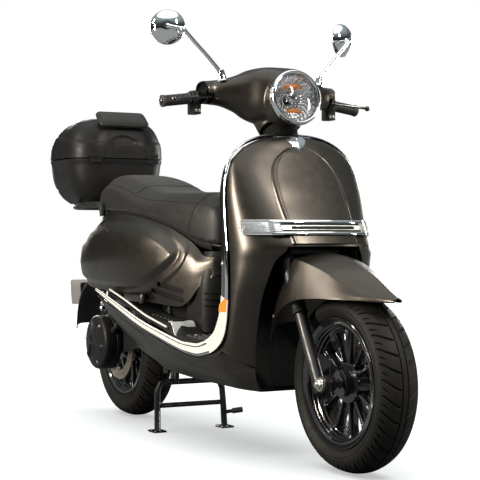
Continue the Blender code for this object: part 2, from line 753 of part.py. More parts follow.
def shield_point(z, turn, proud):
    """A point at an angle round the shield's section, this far outside its surface."""
    edge = Vector((lerp(SHIELD_EDGE_X, z), lerp(SHIELD_EDGE_Y, z)))
    centre_x = lerp(SHIELD_CENTRE, z)

    def at(angle):
        return Vector((edge.x + (centre_x - edge.x) * math.cos(angle) ** 0.9,
                       edge.y * math.sin(angle) ** 0.9))

    along = (at(turn + 0.001) - at(max(turn - 0.001, 0))).normalized()
    spot = at(turn) + Vector((along.y, -along.x)) * proud
    return Vector((spot.x, max(spot.y, 0.0), z))


def indicator_bar():
    """The bar across the nose that carries the front indicators and wraps round its sides."""
    rows = []
    for z in BAR_BAND:
        row = []
        for k in range(11):
            turn = math.radians(70) * k / 10
            proud = NOSE_PROUD + 0.0065 if turn < math.radians(39) else 0.0085
            row.append(shield_point(z, turn, proud))
        row[0].y = 0
        rows.append(row)
    return place(sheet("indicator_bar", rows, 0.006, mirror=True), "chassis", CHROME)


indicator_bar()

# ---- edge trim: one strip from the tail along the floor, up the shield and over its top ----
TRIM_SIDE = [
    (-0.580, 0.196, 0.440), (-0.480, 0.206, 0.421), (-0.335, 0.213, 0.390), (-0.182, 0.2155, 0.352),
    (-0.038, 0.2160, 0.323), (0.098, 0.2160, 0.300), (0.215, 0.2160, 0.294), (0.290, 0.2160, 0.306),
    (0.345, 0.2160, 0.335), (0.374, 0.2160, 0.372), (0.389, 0.2160, 0.430), (0.394, 0.2165, 0.500),
    (0.389, 0.2165, 0.580), (0.380, 0.2160, 0.650), (0.372, 0.2150, 0.720), (0.366, 0.2100, 0.770),
    (0.362, 0.2010, 0.812), (0.358, 0.1830, 0.846), (0.354, 0.1500, 0.875), (0.351, 0.1080, 0.893),
    (0.348, 0.0600, 0.902),
]
TRIM_R = 0.0055


def shield_trim():
    right = [mirrored(p, -1) for p in TRIM_SIDE]
    left = [Vector(p) for p in reversed(TRIM_SIDE)]
    return place(tube("shield_trim", right + left, TRIM_R), "chassis", CHROME)


shield_trim()


def inner_leg_shield():
    """The rider's side of the shield, from the floor up to the neck."""
    levels = [(0.3340, 0.3300), (0.3800, 0.3300), (0.4700, 0.3300), (0.5700, 0.3240), (0.6700, 0.3120),
              (0.7600, 0.2980), (0.8300, 0.2840), (0.8700, 0.2740)]
    edge_x = [(z, x) for x, y, z in sorted(TRIM_SIDE[8:], key=lambda p: p[2])]
    edge_y = [(z, y) for x, y, z in sorted(TRIM_SIDE[8:], key=lambda p: p[2])]
    rows = []
    for z, centre_x in levels:
        x1 = lerp(edge_x, z) - 0.010
        y1 = lerp(edge_y, z + 0.008) - 0.006
        rows.append([
            Vector((x1 + (centre_x - x1) * (1 - (k / 6) ** 2.5), y1 * k / 6, z)) for k in range(7)
        ])
    return place(sheet("inner_leg_shield", rows, mirror=True), "chassis", BLACK_PLASTIC)


inner_leg_shield()


def wheel_well_liner():
    """The black wall behind the front wheel, from the belly up behind the nose."""
    levels = [(0.201, 0.392, 0.120, 0.402), (0.255, 0.379, 0.138, 0.404), (0.300, 0.374, 0.142, 0.412),
              (0.370, 0.371, 0.143, 0.424), (0.447, 0.371, 0.143, 0.444), (0.502, 0.371, 0.141, 0.470),
              (0.553, 0.375, 0.130, 0.490), (0.585, 0.387, 0.118, 0.500)]
    rows = []
    for z, centre_x, half, front_x in levels:
        rows.append([
            Vector((centre_x, 0, z)),
            Vector((centre_x, half * 0.55, z)),
            Vector((centre_x + 0.004, half * 0.92, z)),
            Vector((centre_x + 0.010, half, z)), Vector((front_x, half, z)),
        ])
    return place(sheet("wheel_well_liner", rows, mirror=True), "chassis", BLACK_PLASTIC)


wheel_well_liner()

# ---- floor and belly ----
# Belly stations, front to back: upper edge, crease and lower edge of the side skirt, as x, y, z.
BELLY = [
    ((0.357, 0.2100, 0.2975), (0.4285, 0.148, 0.2580), (0.412, 0.122, 0.193)),
    ((0.300, 0.2110, 0.283), (0.360, 0.180, 0.2360), (0.350, 0.148, 0.196)),
    ((0.215, 0.2110, 0.275), (0.270, 0.186, 0.2350), (0.260, 0.150, 0.198)),
    ((0.098, 0.2110, 0.282), (0.130, 0.190, 0.2480), (0.130, 0.150, 0.200)),
    ((-0.038, 0.2110, 0.305), (-0.020, 0.192, 0.2720), (-0.020, 0.150, 0.206)),
    ((-0.140, 0.2110, 0.327), (-0.130, 0.193, 0.2990), (-0.130, 0.150, 0.215)),
    ((-0.182, 0.2105, 0.336), (-0.190, 0.194, 0.3120), (-0.190, 0.150, 0.230)),
    ((-0.335, 0.2080, 0.374), (-0.350, 0.196, 0.3540), (-0.348, 0.157, 0.276)),
    ((-0.480, 0.2010, 0.404), (-0.480, 0.191, 0.3900), (-0.460, 0.168, 0.335)),
    ((-0.572, 0.1910, 0.424), (-0.562, 0.182, 0.4150), (-0.552, 0.176, 0.4000)),
]
PAN_STATIONS = 5


def belly_rows():
    rows = []
    for upper, crease, lower in BELLY:
        upper, crease, lower = Vector(upper), Vector(crease), Vector(lower)
        rows.append([
            Vector((lower.x, 0, lower.z)), Vector((lower.x, lower.y * 0.7, lower.z)), lower,
            crease.lerp(lower, 0.5) + Vector((0, 0.006, 0)), crease,
            upper.lerp(crease, 0.5) + Vector((0, 0.002, 0)), upper,
        ])
    return rows


def behind_pan(i, j):
    return i >= PAN_STATIONS - 1 and j < 2


place(sheet("belly_fairing", belly_rows(), mirror=True, skip=behind_pan), "chassis", BLACK_PAINT)

# Floorboard stations, front to back: x, height of the floor, height of its outer edge, inner y.
FLOOR = [(0.318, 0.322, 0.318, 0), (0.215, 0.318, 0.308, 0), (0.098, 0.320, 0.314, 0),
         (0.040, 0.326, 0.320, 0),
         (0.000, 0.358, 0.330, 0.120), (-0.100, 0.366, 0.352, 0.120), (-0.182, 0.372, 0.368, 0.125),
         (-0.335, 0.408, 0.406, 0.140), (-0.480, 0.434, 0.436, 0.160)]


def floor_rows():
    rows = []
    for x, z, edge_z, inner in FLOOR:
        inner = max(inner, 0.0)
        outer = 0.2030 if x > -0.3 else 0.2030 - (-0.3 - x) * 0.06
        spread = [0.0, 0.110] + [max(inner, 0.110) + (outer - max(inner, 0.110)) * k / 3 for k in range(1, 4)]
        rows.append([
            Vector((x, y, z if k < 4 else edge_z)) for k, y in enumerate(spread)
        ])
    return rows


def beside_battery(i, j):
    return i >= 3 and j < 2


place(sheet("floorboard", floor_rows(), 0.006, mirror=True, skip=beside_battery), "chassis", BLACK_PLASTIC)

# ---- rear body ----
# Side cowl stations from the front cover to the tail:
# x, y and z of the top edge, greatest y and its z, y and z of the bottom edge.
COWL = [
    (0.020, 0.088, 0.578, 0.118, 0.510, 0.112, 0.412),
    (-0.050, 0.112, 0.612, 0.150, 0.530, 0.140, 0.408),
    (-0.120, 0.128, 0.640, 0.176, 0.550, 0.158, 0.410),
    (-0.200, 0.140, 0.660, 0.196, 0.562, 0.168, 0.415),
    (-0.300, 0.148, 0.677, 0.207, 0.564, 0.174, 0.424),
    (-0.400, 0.150, 0.688, 0.210, 0.560, 0.176, 0.432),
    (-0.500, 0.147, 0.694, 0.208, 0.553, 0.178, 0.440),
    (-0.600, 0.140, 0.695, 0.202, 0.548, 0.176, 0.444),
    (-0.690, 0.127, 0.684, 0.187, 0.545, 0.168, 0.450),
    (-0.760, 0.110, 0.664, 0.166, 0.545, 0.150, 0.460),
    (-0.820, 0.090, 0.634, 0.132, 0.545, 0.120, 0.476),
]


def cowl_section(station, side):
    """Six points from the top edge to the bottom edge, rounded through the widest point."""
    x, top_y, top_z, wide_y, wide_z, low_y, low_z = station
    top, wide, low = Vector((x, top_y, top_z)), Vector((x, wide_y, wide_z)), Vector((x, low_y, low_z))
    upper_knee = Vector((x, wide_y - (wide_y - top_y) * 0.25, wide_z + (top_z - wide_z) * 0.55))
    lower_knee = Vector((x, wide_y - (wide_y - low_y) * 0.20, wide_z + (low_z - wide_z) * 0.50))
    return [mirrored(p, side) for p in (top, upper_knee, wide, lower_knee, low)]


def side_cowl(name, side):
    rows = [cowl_section(station, side) for station in COWL]
    return place(sheet("side_cowl_" + name, rows), "chassis", BLACK_PAINT)


side_cowl("right", -1)
side_cowl("left", 1)


def battery_cover():
    """The rounded front of the body under the seat."""
    rows = []
    for z, reach, half in ((0.574, 0.066, 0.084), (0.540, 0.074, 0.098), (0.490, 0.078, 0.110),
                           (0.440, 0.076, 0.112), (0.380, 0.070, 0.110), (0.3330, 0.066, 0.1040)):
        back = 0.0245
        rows.append([
            Vector((back + (reach - back) * math.cos(math.pi / 2 * k / 4) ** 0.8,
                    half * math.sin(math.pi / 2 * k / 4) ** 0.8, z)) for k in range(5)
        ])
    return place(sheet("battery_cover", rows, mirror=True), "chassis", BLACK_PLASTIC)


def tail_panel():
    """The panel that closes the tail between the two cowls, with the rear light's face."""
    rows = []
    front = -0.8240
    for z, half, back in ((0.632, 0.088, -0.842), (0.595, 0.110, -0.864), (0.560, 0.125, -0.872),
                          (0.530, 0.126, -0.868)):
        turns = [math.pi / 2 * k / 3 for k in range(4)]
        rows.append([Vector((front + (back - front) * math.cos(t), half * math.sin(t), z)) for t in turns])
    return place(sheet("tail_panel", rows, mirror=True), "chassis", BLACK_PAINT)


battery_cover()
tail_panel()


def rounded_ring(x0, x1, half, corner, z, per_corner=4):
    """A rounded rectangle in plan, anticlockwise seen from above."""
    ring = []
    for cx, cy, start in ((x0 - corner, half - corner, 0), (x1 + corner, half - corner, 90),
                          (x1 + corner, -half + corner, 180), (x0 - corner, -half + corner, 270)):
        for k in range(per_corner + 1):
            angle = math.radians(start + 90 * k / per_corner)
            ring.append((cx + corner * math.cos(angle), cy + corner * math.sin(angle), z))
    return ring


def tub(name, levels, wall, floor):
    """An open tub: outer rings from the base up to the rim, then inner rings down to its floor."""
    outer = [rounded_ring(x0, x1, half, corner, z) for x0, x1, half, corner, z in levels]
    inner = [
        rounded_ring(x0 - wall, x1 + wall, half - wall, corner - wall, z)
        for x0, x1, half, corner, z in reversed(levels)
    ]
    x0, x1, half, corner, z = levels[0]
    inner[-1] = rounded_ring(x0 - wall, x1 + wall, half - wall, corner - wall, z + floor)
    return loft(name, outer + inner)


bucket = tub("under_seat_bucket", [(-0.270, -0.500, 0.094, 0.035, 0.572),
                                   (-0.262, -0.510, 0.104, 0.035, 0.664)],
             0.004, 0.004)
place(bucket, "chassis", BLACK_PLASTIC)
place(block("battery_pack", (-0.235, -0.090, 0.285), (-0.030, 0.090, 0.545), 0.006), "chassis", BLACK_PLASTIC)


def rear_mudguard():
    """The flap behind the rear wheel, hung from the tail."""
    line = [(-0.790, 0.516), (-0.870, 0.504), (-0.955, 0.474), (-1.025, 0.428), (-1.062, 0.370),
            (-1.075, 0.300)]
    rows = [[Vector((x, 0, z)), Vector((x, 0.040, z)), Vector((x + 0.004, 0.062, z - 0.006)),
             Vector((x + 0.016, 0.070, z - 0.020))] for x, z in line]
    return place(sheet("rear_mudguard", rows, mirror=True), "chassis", BLACK_PLASTIC)


rear_mudguard()


def rear_rack():
    """A carrier plate under the top case, with a grab rail that runs forward beside the seat."""
    side_rail = [(-0.608, 0.158, 0.6890), (-0.612, 0.161, 0.716), (-0.645, 0.161, 0.728),
                 (-0.780, 0.158, 0.727),
                 (-0.895, 0.140, 0.726), (-0.945, 0.085, 0.726)]
    right = [mirrored(p, -1) for p in side_rail]
    left = [Vector(p) for p in reversed(side_rail)]
    rack = tube("rear_rack", smooth(right + left, 2), 0.0110)
    join(rack, block("rack_plate", (-0.950, -0.110, 0.7280), (-0.775, 0.110, 0.7365)))
    join(rack, rod("rack_front", (-0.7820, -0.158, 0.727), (-0.7820, 0.158, 0.727), 0.0090, 8))
    for name, side in SIDES.items():
        join(rack, rod("rack_strut_" + name, mirrored((-0.7380, 0.060, 0.6575), side),
                       mirrored((-0.7960, 0.060, 0.7320), side), 0.0070, 8))
        y0, y1 = sorted((0.045 * side, 0.075 * side))
        join(rack, block("rack_foot_" + name, (-0.750, y0, 0.6515), (-0.722, y1, 0.6580)))
    return place(rack, "chassis", BLACK_PLASTIC)


rear_rack()

# ---- top case ----
CASE_BASE = [(-0.830, -1.060, 0.118, 0.070, 0.7385), (-0.808, -1.090, 0.145, 0.085, 0.765),
             (-0.793, -1.113, 0.168, 0.095, 0.815), (CASE_FRONT_X, CASE_REAR_X, 0.180, 0.100, 0.8935)]
CASE_LID = [(CASE_FRONT_X, CASE_REAR_X, 0.180, 0.100, 0.8975), (-0.787, -1.108, 0.176, 0.100, 0.950),
            (-0.799, -1.072, 0.158, 0.100, 1.000), (-0.825, -1.030, 0.128, 0.090, 1.029),
            (-0.865, -0.985, 0.078, 0.058, 1.041)]


def case_lid():
    outer = [rounded_ring(x0, x1, half, corner, z) for x0, x1, half, corner, z in reversed(CASE_LID)]
    wall = 0.004
    inner = [
        rounded_ring(x0 - wall, x1 + wall, half - wall, corner - wall, z)
        for x0, x1, half, corner, z in CASE_LID
    ]
    x0, x1, half, corner, z = CASE_LID[-1]
    inner[-1] = rounded_ring(x0 - wall, x1 + wall, half - wall, corner - wall, z - wall)
    inner[-2] = [(x, y, z - wall) for x, y, z in inner[-2]]
    return place(loft("case_lid", outer + inner), "case_lid", BLACK_PLASTIC)


place(tub("case_base", CASE_BASE, 0.004, 0.004), "chassis", BLACK_PLASTIC)
case_lid()


def case_pad():
    """The back pad on the front top edge of the lid."""
    stations = [(-0.095, 0.010), (-0.080, 0.020), (0.0, 0.022), (0.080, 0.020), (0.095, 0.010)]
    rings = []
    for y, half in stations:
        ring = []
        for k in range(8):
            angle = 2 * math.pi * k / 8
            along, out = half * 1.9 * math.cos(angle), 0.011 * math.sin(angle) * min(1, half / 0.02)
            slope = math.radians(40)
            ring.append((
                -0.8045 - along * math.cos(slope) + out * math.sin(slope), y,
                1.0335 + along * math.sin(slope) + out * math.cos(slope),
            ))
        rings.append(ring)
    return loft("case_pad", rings)


place(case_pad(), "case_lid", SEAT_COVER)

# ---- seat ----
# Seat stations from the nose to the rear: x, half width, underside z, height of the shoulder, crown z.
SEAT = [
    (0.068, 0.072, 0.588, 0.690, 0.722),
    (0.040, 0.090, 0.592, 0.712, 0.742),
    (-0.030, 0.112, 0.606, 0.722, 0.752),
    (-0.110, 0.130, 0.634, 0.728, 0.755),
    (-0.200, 0.145, 0.659, 0.733, 0.758),
    (-0.290, 0.154, 0.677, 0.738, 0.763),
    (-0.370, 0.157, 0.687, 0.750, 0.777),
    (-0.450, 0.158, 0.694, 0.770, 0.800),
    (-0.540, 0.153, 0.699, 0.788, 0.819),
    (-0.630, 0.144, 0.702, 0.795, 0.829),
    (-0.705, 0.131, 0.704, 0.786, 0.820),
    (-0.742, 0.108, 0.708, 0.768, 0.797),
]
SEAT_LIFT = 0.006                         # the cushion starts this far above its base


def seat_cushion():
    rings = []
    for x, half, low, shoulder, crown in SEAT:
        low += SEAT_LIFT
        profile = [(0, crown), (half * 0.55, crown - 0.004), (half * 0.86, shoulder),
                   (half, (low + shoulder) / 2),
                   (half * 0.97, low), (half * 0.45, low)]
        ring = [(x, y, z) for y, z in profile] + [(x, -y, z) for y, z in reversed(profile[1:])]
        rings.append(ring)
    return loft("seat_cushion", rings)


def seat_base():
    rings = []
    for x, half, low, *_ in SEAT:
        top = low + SEAT_LIFT - GAP
        y = half * 0.90
        rings.append([(x, y, top), (x, y, low), (x, -y, low), (x, -y, top)])
    return loft("seat_base", rings)


place(seat_cushion(), "seat", SEAT_COVER)
place(seat_base(), "seat", BLACK_PLASTIC)


# ---- main frame ----
def main_frame():
    """Welded tubes: steering head, down tube, two rails and their cross members."""
    head = rod("main_frame", steer(-0.425), steer(-0.195), 0.030, 16)
    down = tube("down_tube", smooth([steer(-0.365, -0.010), (0.364, 0, 0.605), (0.3530, 0, 0.545),
                                     (0.3530, 0, 0.420), (0.3500, 0, 0.330), (0.320, 0, 0.272),
                                     (0.290, 0, 0.258)], 2), 0.0130)
    join(head, down)
    join(head, rod("cross_front", (0.300, -0.115, 0.258), (0.300, 0.115, 0.258), 0.013, 8))
    for name, side in SIDES.items():
        rail = tube("rail_" + name, smooth([
            mirrored((0.310, 0.115, 0.258), side), mirrored((-0.160, 0.115, 0.258), side),
            mirrored((-0.280, 0.115, 0.300), side), mirrored((-0.420, 0.110, 0.460), side),
            mirrored((-0.590, 0.094, 0.600), side), mirrored((-0.745, 0.080, 0.640), side),
        ], 2), 0.0130)
        join(head, rail)
        join(head, rod("shock_pin_" + name, mirrored((SHOCK_TOP.x, 0.095, SHOCK_TOP.z), side),
                       mirrored((SHOCK_TOP.x, 0.156, SHOCK_TOP.z), side), 0.006, 12))
        y0, y1 = sorted((0.1170 * side, 0.1260 * side))
        join(head, block("pivot_plate_" + name, (-0.390, y0, 0.262), (-0.318, y1, 0.372)))
        y0, y1 = sorted((0.0875 * side, 0.0955 * side))
        join(head, block("stand_lug_" + name, (-0.266, y0, 0.186), (-0.234, y1, 0.275)))
    join(head, rod("cross_stand", (-0.250, -0.120, 0.268), (-0.250, 0.120, 0.268), 0.012, 8))
    join(head, rod("cross_seat", (-0.735, -0.095, 0.638), (-0.735, 0.095, 0.638), 0.010, 8))
    lug = SIDE_STAND_PIVOT
    join(head, block("side_stand_lug", (lug.x - 0.014, 0.1180, lug.z - 0.014),
                     (lug.x + 0.014, 0.1255, 0.2620)))
    cut(head, rod("side_stand_bore", lug - AXIS_Y * 0.022, lug, 0.0058, 12))
    cut(head, rod("head_bore", steer(-0.440), steer(-0.180), STEM_R + 0.0015, 16))
    for name, side in SIDES.items():
        cut(head, rod("stand_bore_" + name, mirrored((STAND_PIVOT.x, 0.080, STAND_PIVOT.z), side),
                      mirrored((STAND_PIVOT.x, 0.100, STAND_PIVOT.z), side), 0.0068, 12))
        cut(head, rod("swing_bore_" + name, mirrored((SWING_PIVOT.x, 0.112, SWING_PIVOT.z), side),
                      mirrored((SWING_PIVOT.x, 0.130, SWING_PIVOT.z), side), 0.0068, 12))
    return place(head, "chassis", BLACK_PLASTIC)


main_frame()


# ---- rear suspension ----
def swingarm():
    """Pivot tube, two arms, the fixed axle and the pins of the shock absorbers."""
    arm = rod("swingarm", SWING_PIVOT + Vector((0, -0.1155, 0)), SWING_PIVOT + Vector((0, 0.1155, 0)),
              0.020, 12)
    join(arm, rod("swing_bolt", SWING_PIVOT + Vector((0, -0.1300, 0)), SWING_PIVOT + Vector((0, 0.1300, 0)),
                  0.0060, 12))
    join(arm, rod("rear_axle", REAR_AXLE + Vector((0, -0.1120, 0)), REAR_AXLE + Vector((0, 0.1180, 0)),
                  AXLE_R, 16))
    for name, side in SIDES.items():
        y0, y1 = 0.0920 * side, 0.1120 * side

        def build(bm, y0=y0, y1=y1):
            outline = [(-0.345, 0.268), (-0.345, 0.303), (-0.470, 0.300), (-0.590, 0.330), (-0.606, 0.392),
                       (-0.642, 0.392), (-0.660, 0.310), (-0.715, 0.262), (-0.715, 0.212), (-0.660, 0.212),
                       (-0.520, 0.238)]
            low = [bm.verts.new((x, y0, z)) for x, z in outline]
            high = [bm.verts.new((x, y1, z)) for x, z in outline]
            bm.faces.new(low)
            bm.faces.new(list(reversed(high)))
            for i in range(len(outline)):
                j = (i + 1) % len(outline)
                bm.faces.new((low[j], low[i], high[i], high[j]))
            bmesh.ops.recalc_face_normals(bm, faces=bm.faces)

        join(arm, add("arm_" + name, mesh_of("arm_" + name, build)))
        join(arm, rod("shock_foot_pin_" + name, mirrored(SHOCK_FOOT + Vector((0, 0.105, 0)), side),
                      mirrored(SHOCK_FOOT + Vector((0, 0.156, 0)), side), 0.0055, 12))
    return place(arm, "swingarm", BLACK_PLASTIC)


def motor_housing():
    profile = [(0, 0.0850), (0.030, 0.0840), (0.074, 0.077), (0.088, 0.069), (MOTOR_R, 0.060),
               (MOTOR_R, 0.006),
               (0.084, 0.0005), (0, 0.0005)]
    centre = MOTOR_CENTRE + Vector((0, -0.1125, 0))
    return place(turned("motor_housing", profile, centre, -AXIS_Y, 28, closed=False), "swingarm",
                 BLACK_PLASTIC)


def shock(name, side):
    """Upper tube and eye, lower rod and eye, and the coil round them."""
    top = mirrored(SHOCK_TOP + Vector((0, SHOCK_Y, 0)), side)
    foot = mirrored(SHOCK_FOOT + Vector((0, SHOCK_Y, 0)), side)

    def eye(label, centre, bore):
        ring = rod(label, centre - AXIS_Y * 0.009, centre + AXIS_Y * 0.009, 0.0125, 14)
        return ring, rod(label + "_bore", centre - AXIS_Y * 0.012, centre + AXIS_Y * 0.012, bore, 12)

    upper, upper_bore = eye("shock_upper_" + name, top, 0.0066)
    join(upper, rod("shock_tube_" + name, top - SHOCK_LINE * 0.009, top - SHOCK_LINE * 0.120, 0.0105, 12))
    join(upper, rod("spring_seat_" + name, top - SHOCK_LINE * 0.012, top - SHOCK_LINE * 0.020, 0.0230, 14))
    cut(upper, upper_bore)
    cut(upper, rod("shock_bore_" + name, top - SHOCK_LINE * 0.040, top - SHOCK_LINE * 0.130, 0.0065, 12))
    place(upper, "shock_upper", BLACK_PLASTIC)
    lower, lower_bore = eye("shock_lower_" + name, foot, 0.0085)
    join(lower, rod("shock_rod_" + name, foot + SHOCK_LINE * 0.0105, foot + SHOCK_LINE * 0.125, 0.0055, 12))
    join(lower, rod("spring_foot_" + name, foot + SHOCK_LINE * 0.0100, foot + SHOCK_LINE * 0.018, 0.0230, 14))
    cut(lower, lower_bore)
    place(lower, "shock_lower", STEEL)
    turns, per_turn = 6, 9
    start, length = foot + SHOCK_LINE * 0.0225, (top - foot).length - 0.0225 - 0.0245
    across = SHOCK_LINE.cross(AXIS_Y).normalized()
    coil = []
    for k in range(turns * per_turn + 1):
        angle = 2 * math.pi * k / per_turn
        coil.append(start + SHOCK_LINE * (length * k / (turns * per_turn))
                    + (across * math.cos(angle) + AXIS_Y * math.sin(angle)) * 0.0195)
    place(tube("shock_spring_" + name, coil, 0.0022, 1), "shock_upper", CHROME)


swingarm()
motor_housing()
place(caliper("rear_caliper", REAR_AXLE, -1, math.radians(128), 0.0912), "swingarm", BLACK_PLASTIC)
for side_name, side_sign in SIDES.items():
    shock(side_name, side_sign)


# ---- stands and footpegs ----
def centre_stand():
    """A bent tube on two lugs, with a cross bar, two flat feet and a pedal."""
    half = [(-0.257, 0.120, 0.003), (-0.262, 0.118, 0.080), (-0.267, 0.116, 0.128), (-0.268, 0.106, 0.150),
            (-0.268, 0.082, 0.155)]
    left = [Vector(p) for p in half]
    right = [mirrored(p, -1) for p in half]
    legs = tube("centre_stand", right + left[::-1], 0.0100)
    join(legs, rod("stand_cross_bar", (-0.2625, -0.117, 0.082), (-0.2625, 0.117, 0.082), 0.0080, 8))
    join(legs, rod("stand_pivot_tube", STAND_PIVOT - AXIS_Y * 0.0850, STAND_PIVOT + AXIS_Y * 0.0850,
                   0.0110, 12))
    join(legs, rod("stand_bolt", STAND_PIVOT - AXIS_Y * 0.0975, STAND_PIVOT + AXIS_Y * 0.0975, 0.0060, 12))
    for name, side in SIDES.items():
        y0, y1 = sorted((0.050 * side, 0.060 * side))
        join(legs, block("stand_lug_" + name, (-0.278, y0, 0.150), (-0.243, y1, 0.208)))
        y0, y1 = sorted((0.101 * side, 0.141 * side))
        join(legs, block("stand_foot_" + name, (-0.282, y0, 0.0), (-0.232, y1, 0.006)))
    join(legs, rod("stand_pedal", (-0.260, 0.110, 0.048), (-0.240, 0.178, 0.056), 0.0065, 8))
    return place(legs, "centre_stand", GLOSS_BLACK)


def side_stand():
    """A single leg, folded back along the left side."""
    pivot = SIDE_STAND_PIVOT
    leg = tube("side_stand", smooth([pivot + Vector((-0.004, 0, 0)), pivot + Vector((-0.080, 0.004, -0.026)),
                                     pivot + Vector((-0.165, 0.010, -0.047)),
                                     pivot + Vector((-0.210, 0.014, -0.052))], 2), 0.0075)
    join(leg, rod("side_stand_eye", pivot - AXIS_Y * 0.0070, pivot + AXIS_Y * 0.0090, 0.0140, 12))
    join(leg, rod("side_stand_bolt", pivot - AXIS_Y * 0.0180, pivot, 0.0050, 12))
    join(leg, block("side_stand_foot", pivot + Vector((-0.231, 0.000, -0.062)),
                    pivot + Vector((-0.197, 0.030, -0.052))))
    return place(leg, "side_stand", GLOSS_BLACK)


def footpeg(name, side):
    """A folding peg of cast aluminium, lying back along the body."""
    y0, y1 = sorted((0.184 * side, 0.198 * side))
    peg = block("footpeg_" + name, (-0.345, y0, 0.4140), (-0.222, y1, 0.4360), 0.003)
    join(peg, rod("peg_eye_" + name, mirrored((-0.215, 0.191, 0.4110), side),
                  mirrored((-0.215, 0.191, 0.4390), side), 0.0100, 12))
    return place(peg, "peg_" + name, ALUMINIUM)


centre_stand()
side_stand()
for side_name, side_sign in SIDES.items():
    footpeg(side_name, side_sign)
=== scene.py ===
"""Looks of the electric moped scooter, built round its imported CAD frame.

Metres, +X forward, +Y the rider's left, +Z up. Coordinates here are measured on the ground midway
between the axles, as in the CAD source; SHIFT carries them into the row frame.
"""
from math import asin, copysign, cos, exp, hypot, pi, radians, sin, sqrt, tan

import bmesh
import bpy
import numpy as np
from mathutils import Matrix, Vector

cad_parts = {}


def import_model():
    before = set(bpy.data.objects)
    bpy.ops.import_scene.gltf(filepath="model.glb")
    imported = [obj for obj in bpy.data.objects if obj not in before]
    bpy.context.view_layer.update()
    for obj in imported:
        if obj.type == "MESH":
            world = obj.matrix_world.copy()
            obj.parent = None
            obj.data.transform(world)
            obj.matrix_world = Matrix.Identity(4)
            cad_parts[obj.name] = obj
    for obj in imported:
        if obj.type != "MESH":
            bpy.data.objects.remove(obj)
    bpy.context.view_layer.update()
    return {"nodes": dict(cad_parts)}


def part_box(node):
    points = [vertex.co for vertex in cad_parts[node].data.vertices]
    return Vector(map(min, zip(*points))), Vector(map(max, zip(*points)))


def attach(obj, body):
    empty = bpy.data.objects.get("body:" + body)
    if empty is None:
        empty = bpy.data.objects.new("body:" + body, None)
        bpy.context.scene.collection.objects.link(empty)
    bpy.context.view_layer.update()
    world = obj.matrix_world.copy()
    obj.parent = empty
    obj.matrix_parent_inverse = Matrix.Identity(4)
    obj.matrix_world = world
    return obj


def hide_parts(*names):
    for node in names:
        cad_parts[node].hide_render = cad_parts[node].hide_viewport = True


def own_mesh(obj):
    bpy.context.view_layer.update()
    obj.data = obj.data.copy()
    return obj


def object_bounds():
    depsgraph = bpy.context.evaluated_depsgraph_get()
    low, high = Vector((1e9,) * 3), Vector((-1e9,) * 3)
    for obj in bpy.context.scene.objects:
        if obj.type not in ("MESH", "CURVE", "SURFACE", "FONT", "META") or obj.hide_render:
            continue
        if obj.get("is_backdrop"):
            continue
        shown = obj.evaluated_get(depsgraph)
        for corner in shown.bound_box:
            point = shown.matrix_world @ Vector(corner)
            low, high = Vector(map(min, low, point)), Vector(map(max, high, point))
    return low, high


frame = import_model()
NODES = frame["nodes"]


def vec(*values):
    return Vector(values)


def centre_of(node):
    low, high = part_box(node)
    return (low + high) / 2


SHIFT = vec((centre_of("front_tyre").x + centre_of("rear_tyre").x) / 2, 0, 0)
FRONT_AXLE = centre_of("front_tyre") - SHIFT
REAR_AXLE = centre_of("rear_tyre") - SHIFT
SIDES = {"right": -1, "left": 1}
CASTER = radians(27)
STEM_TOP = vec(0.26, 0, 1.0)
PANEL = 0.004


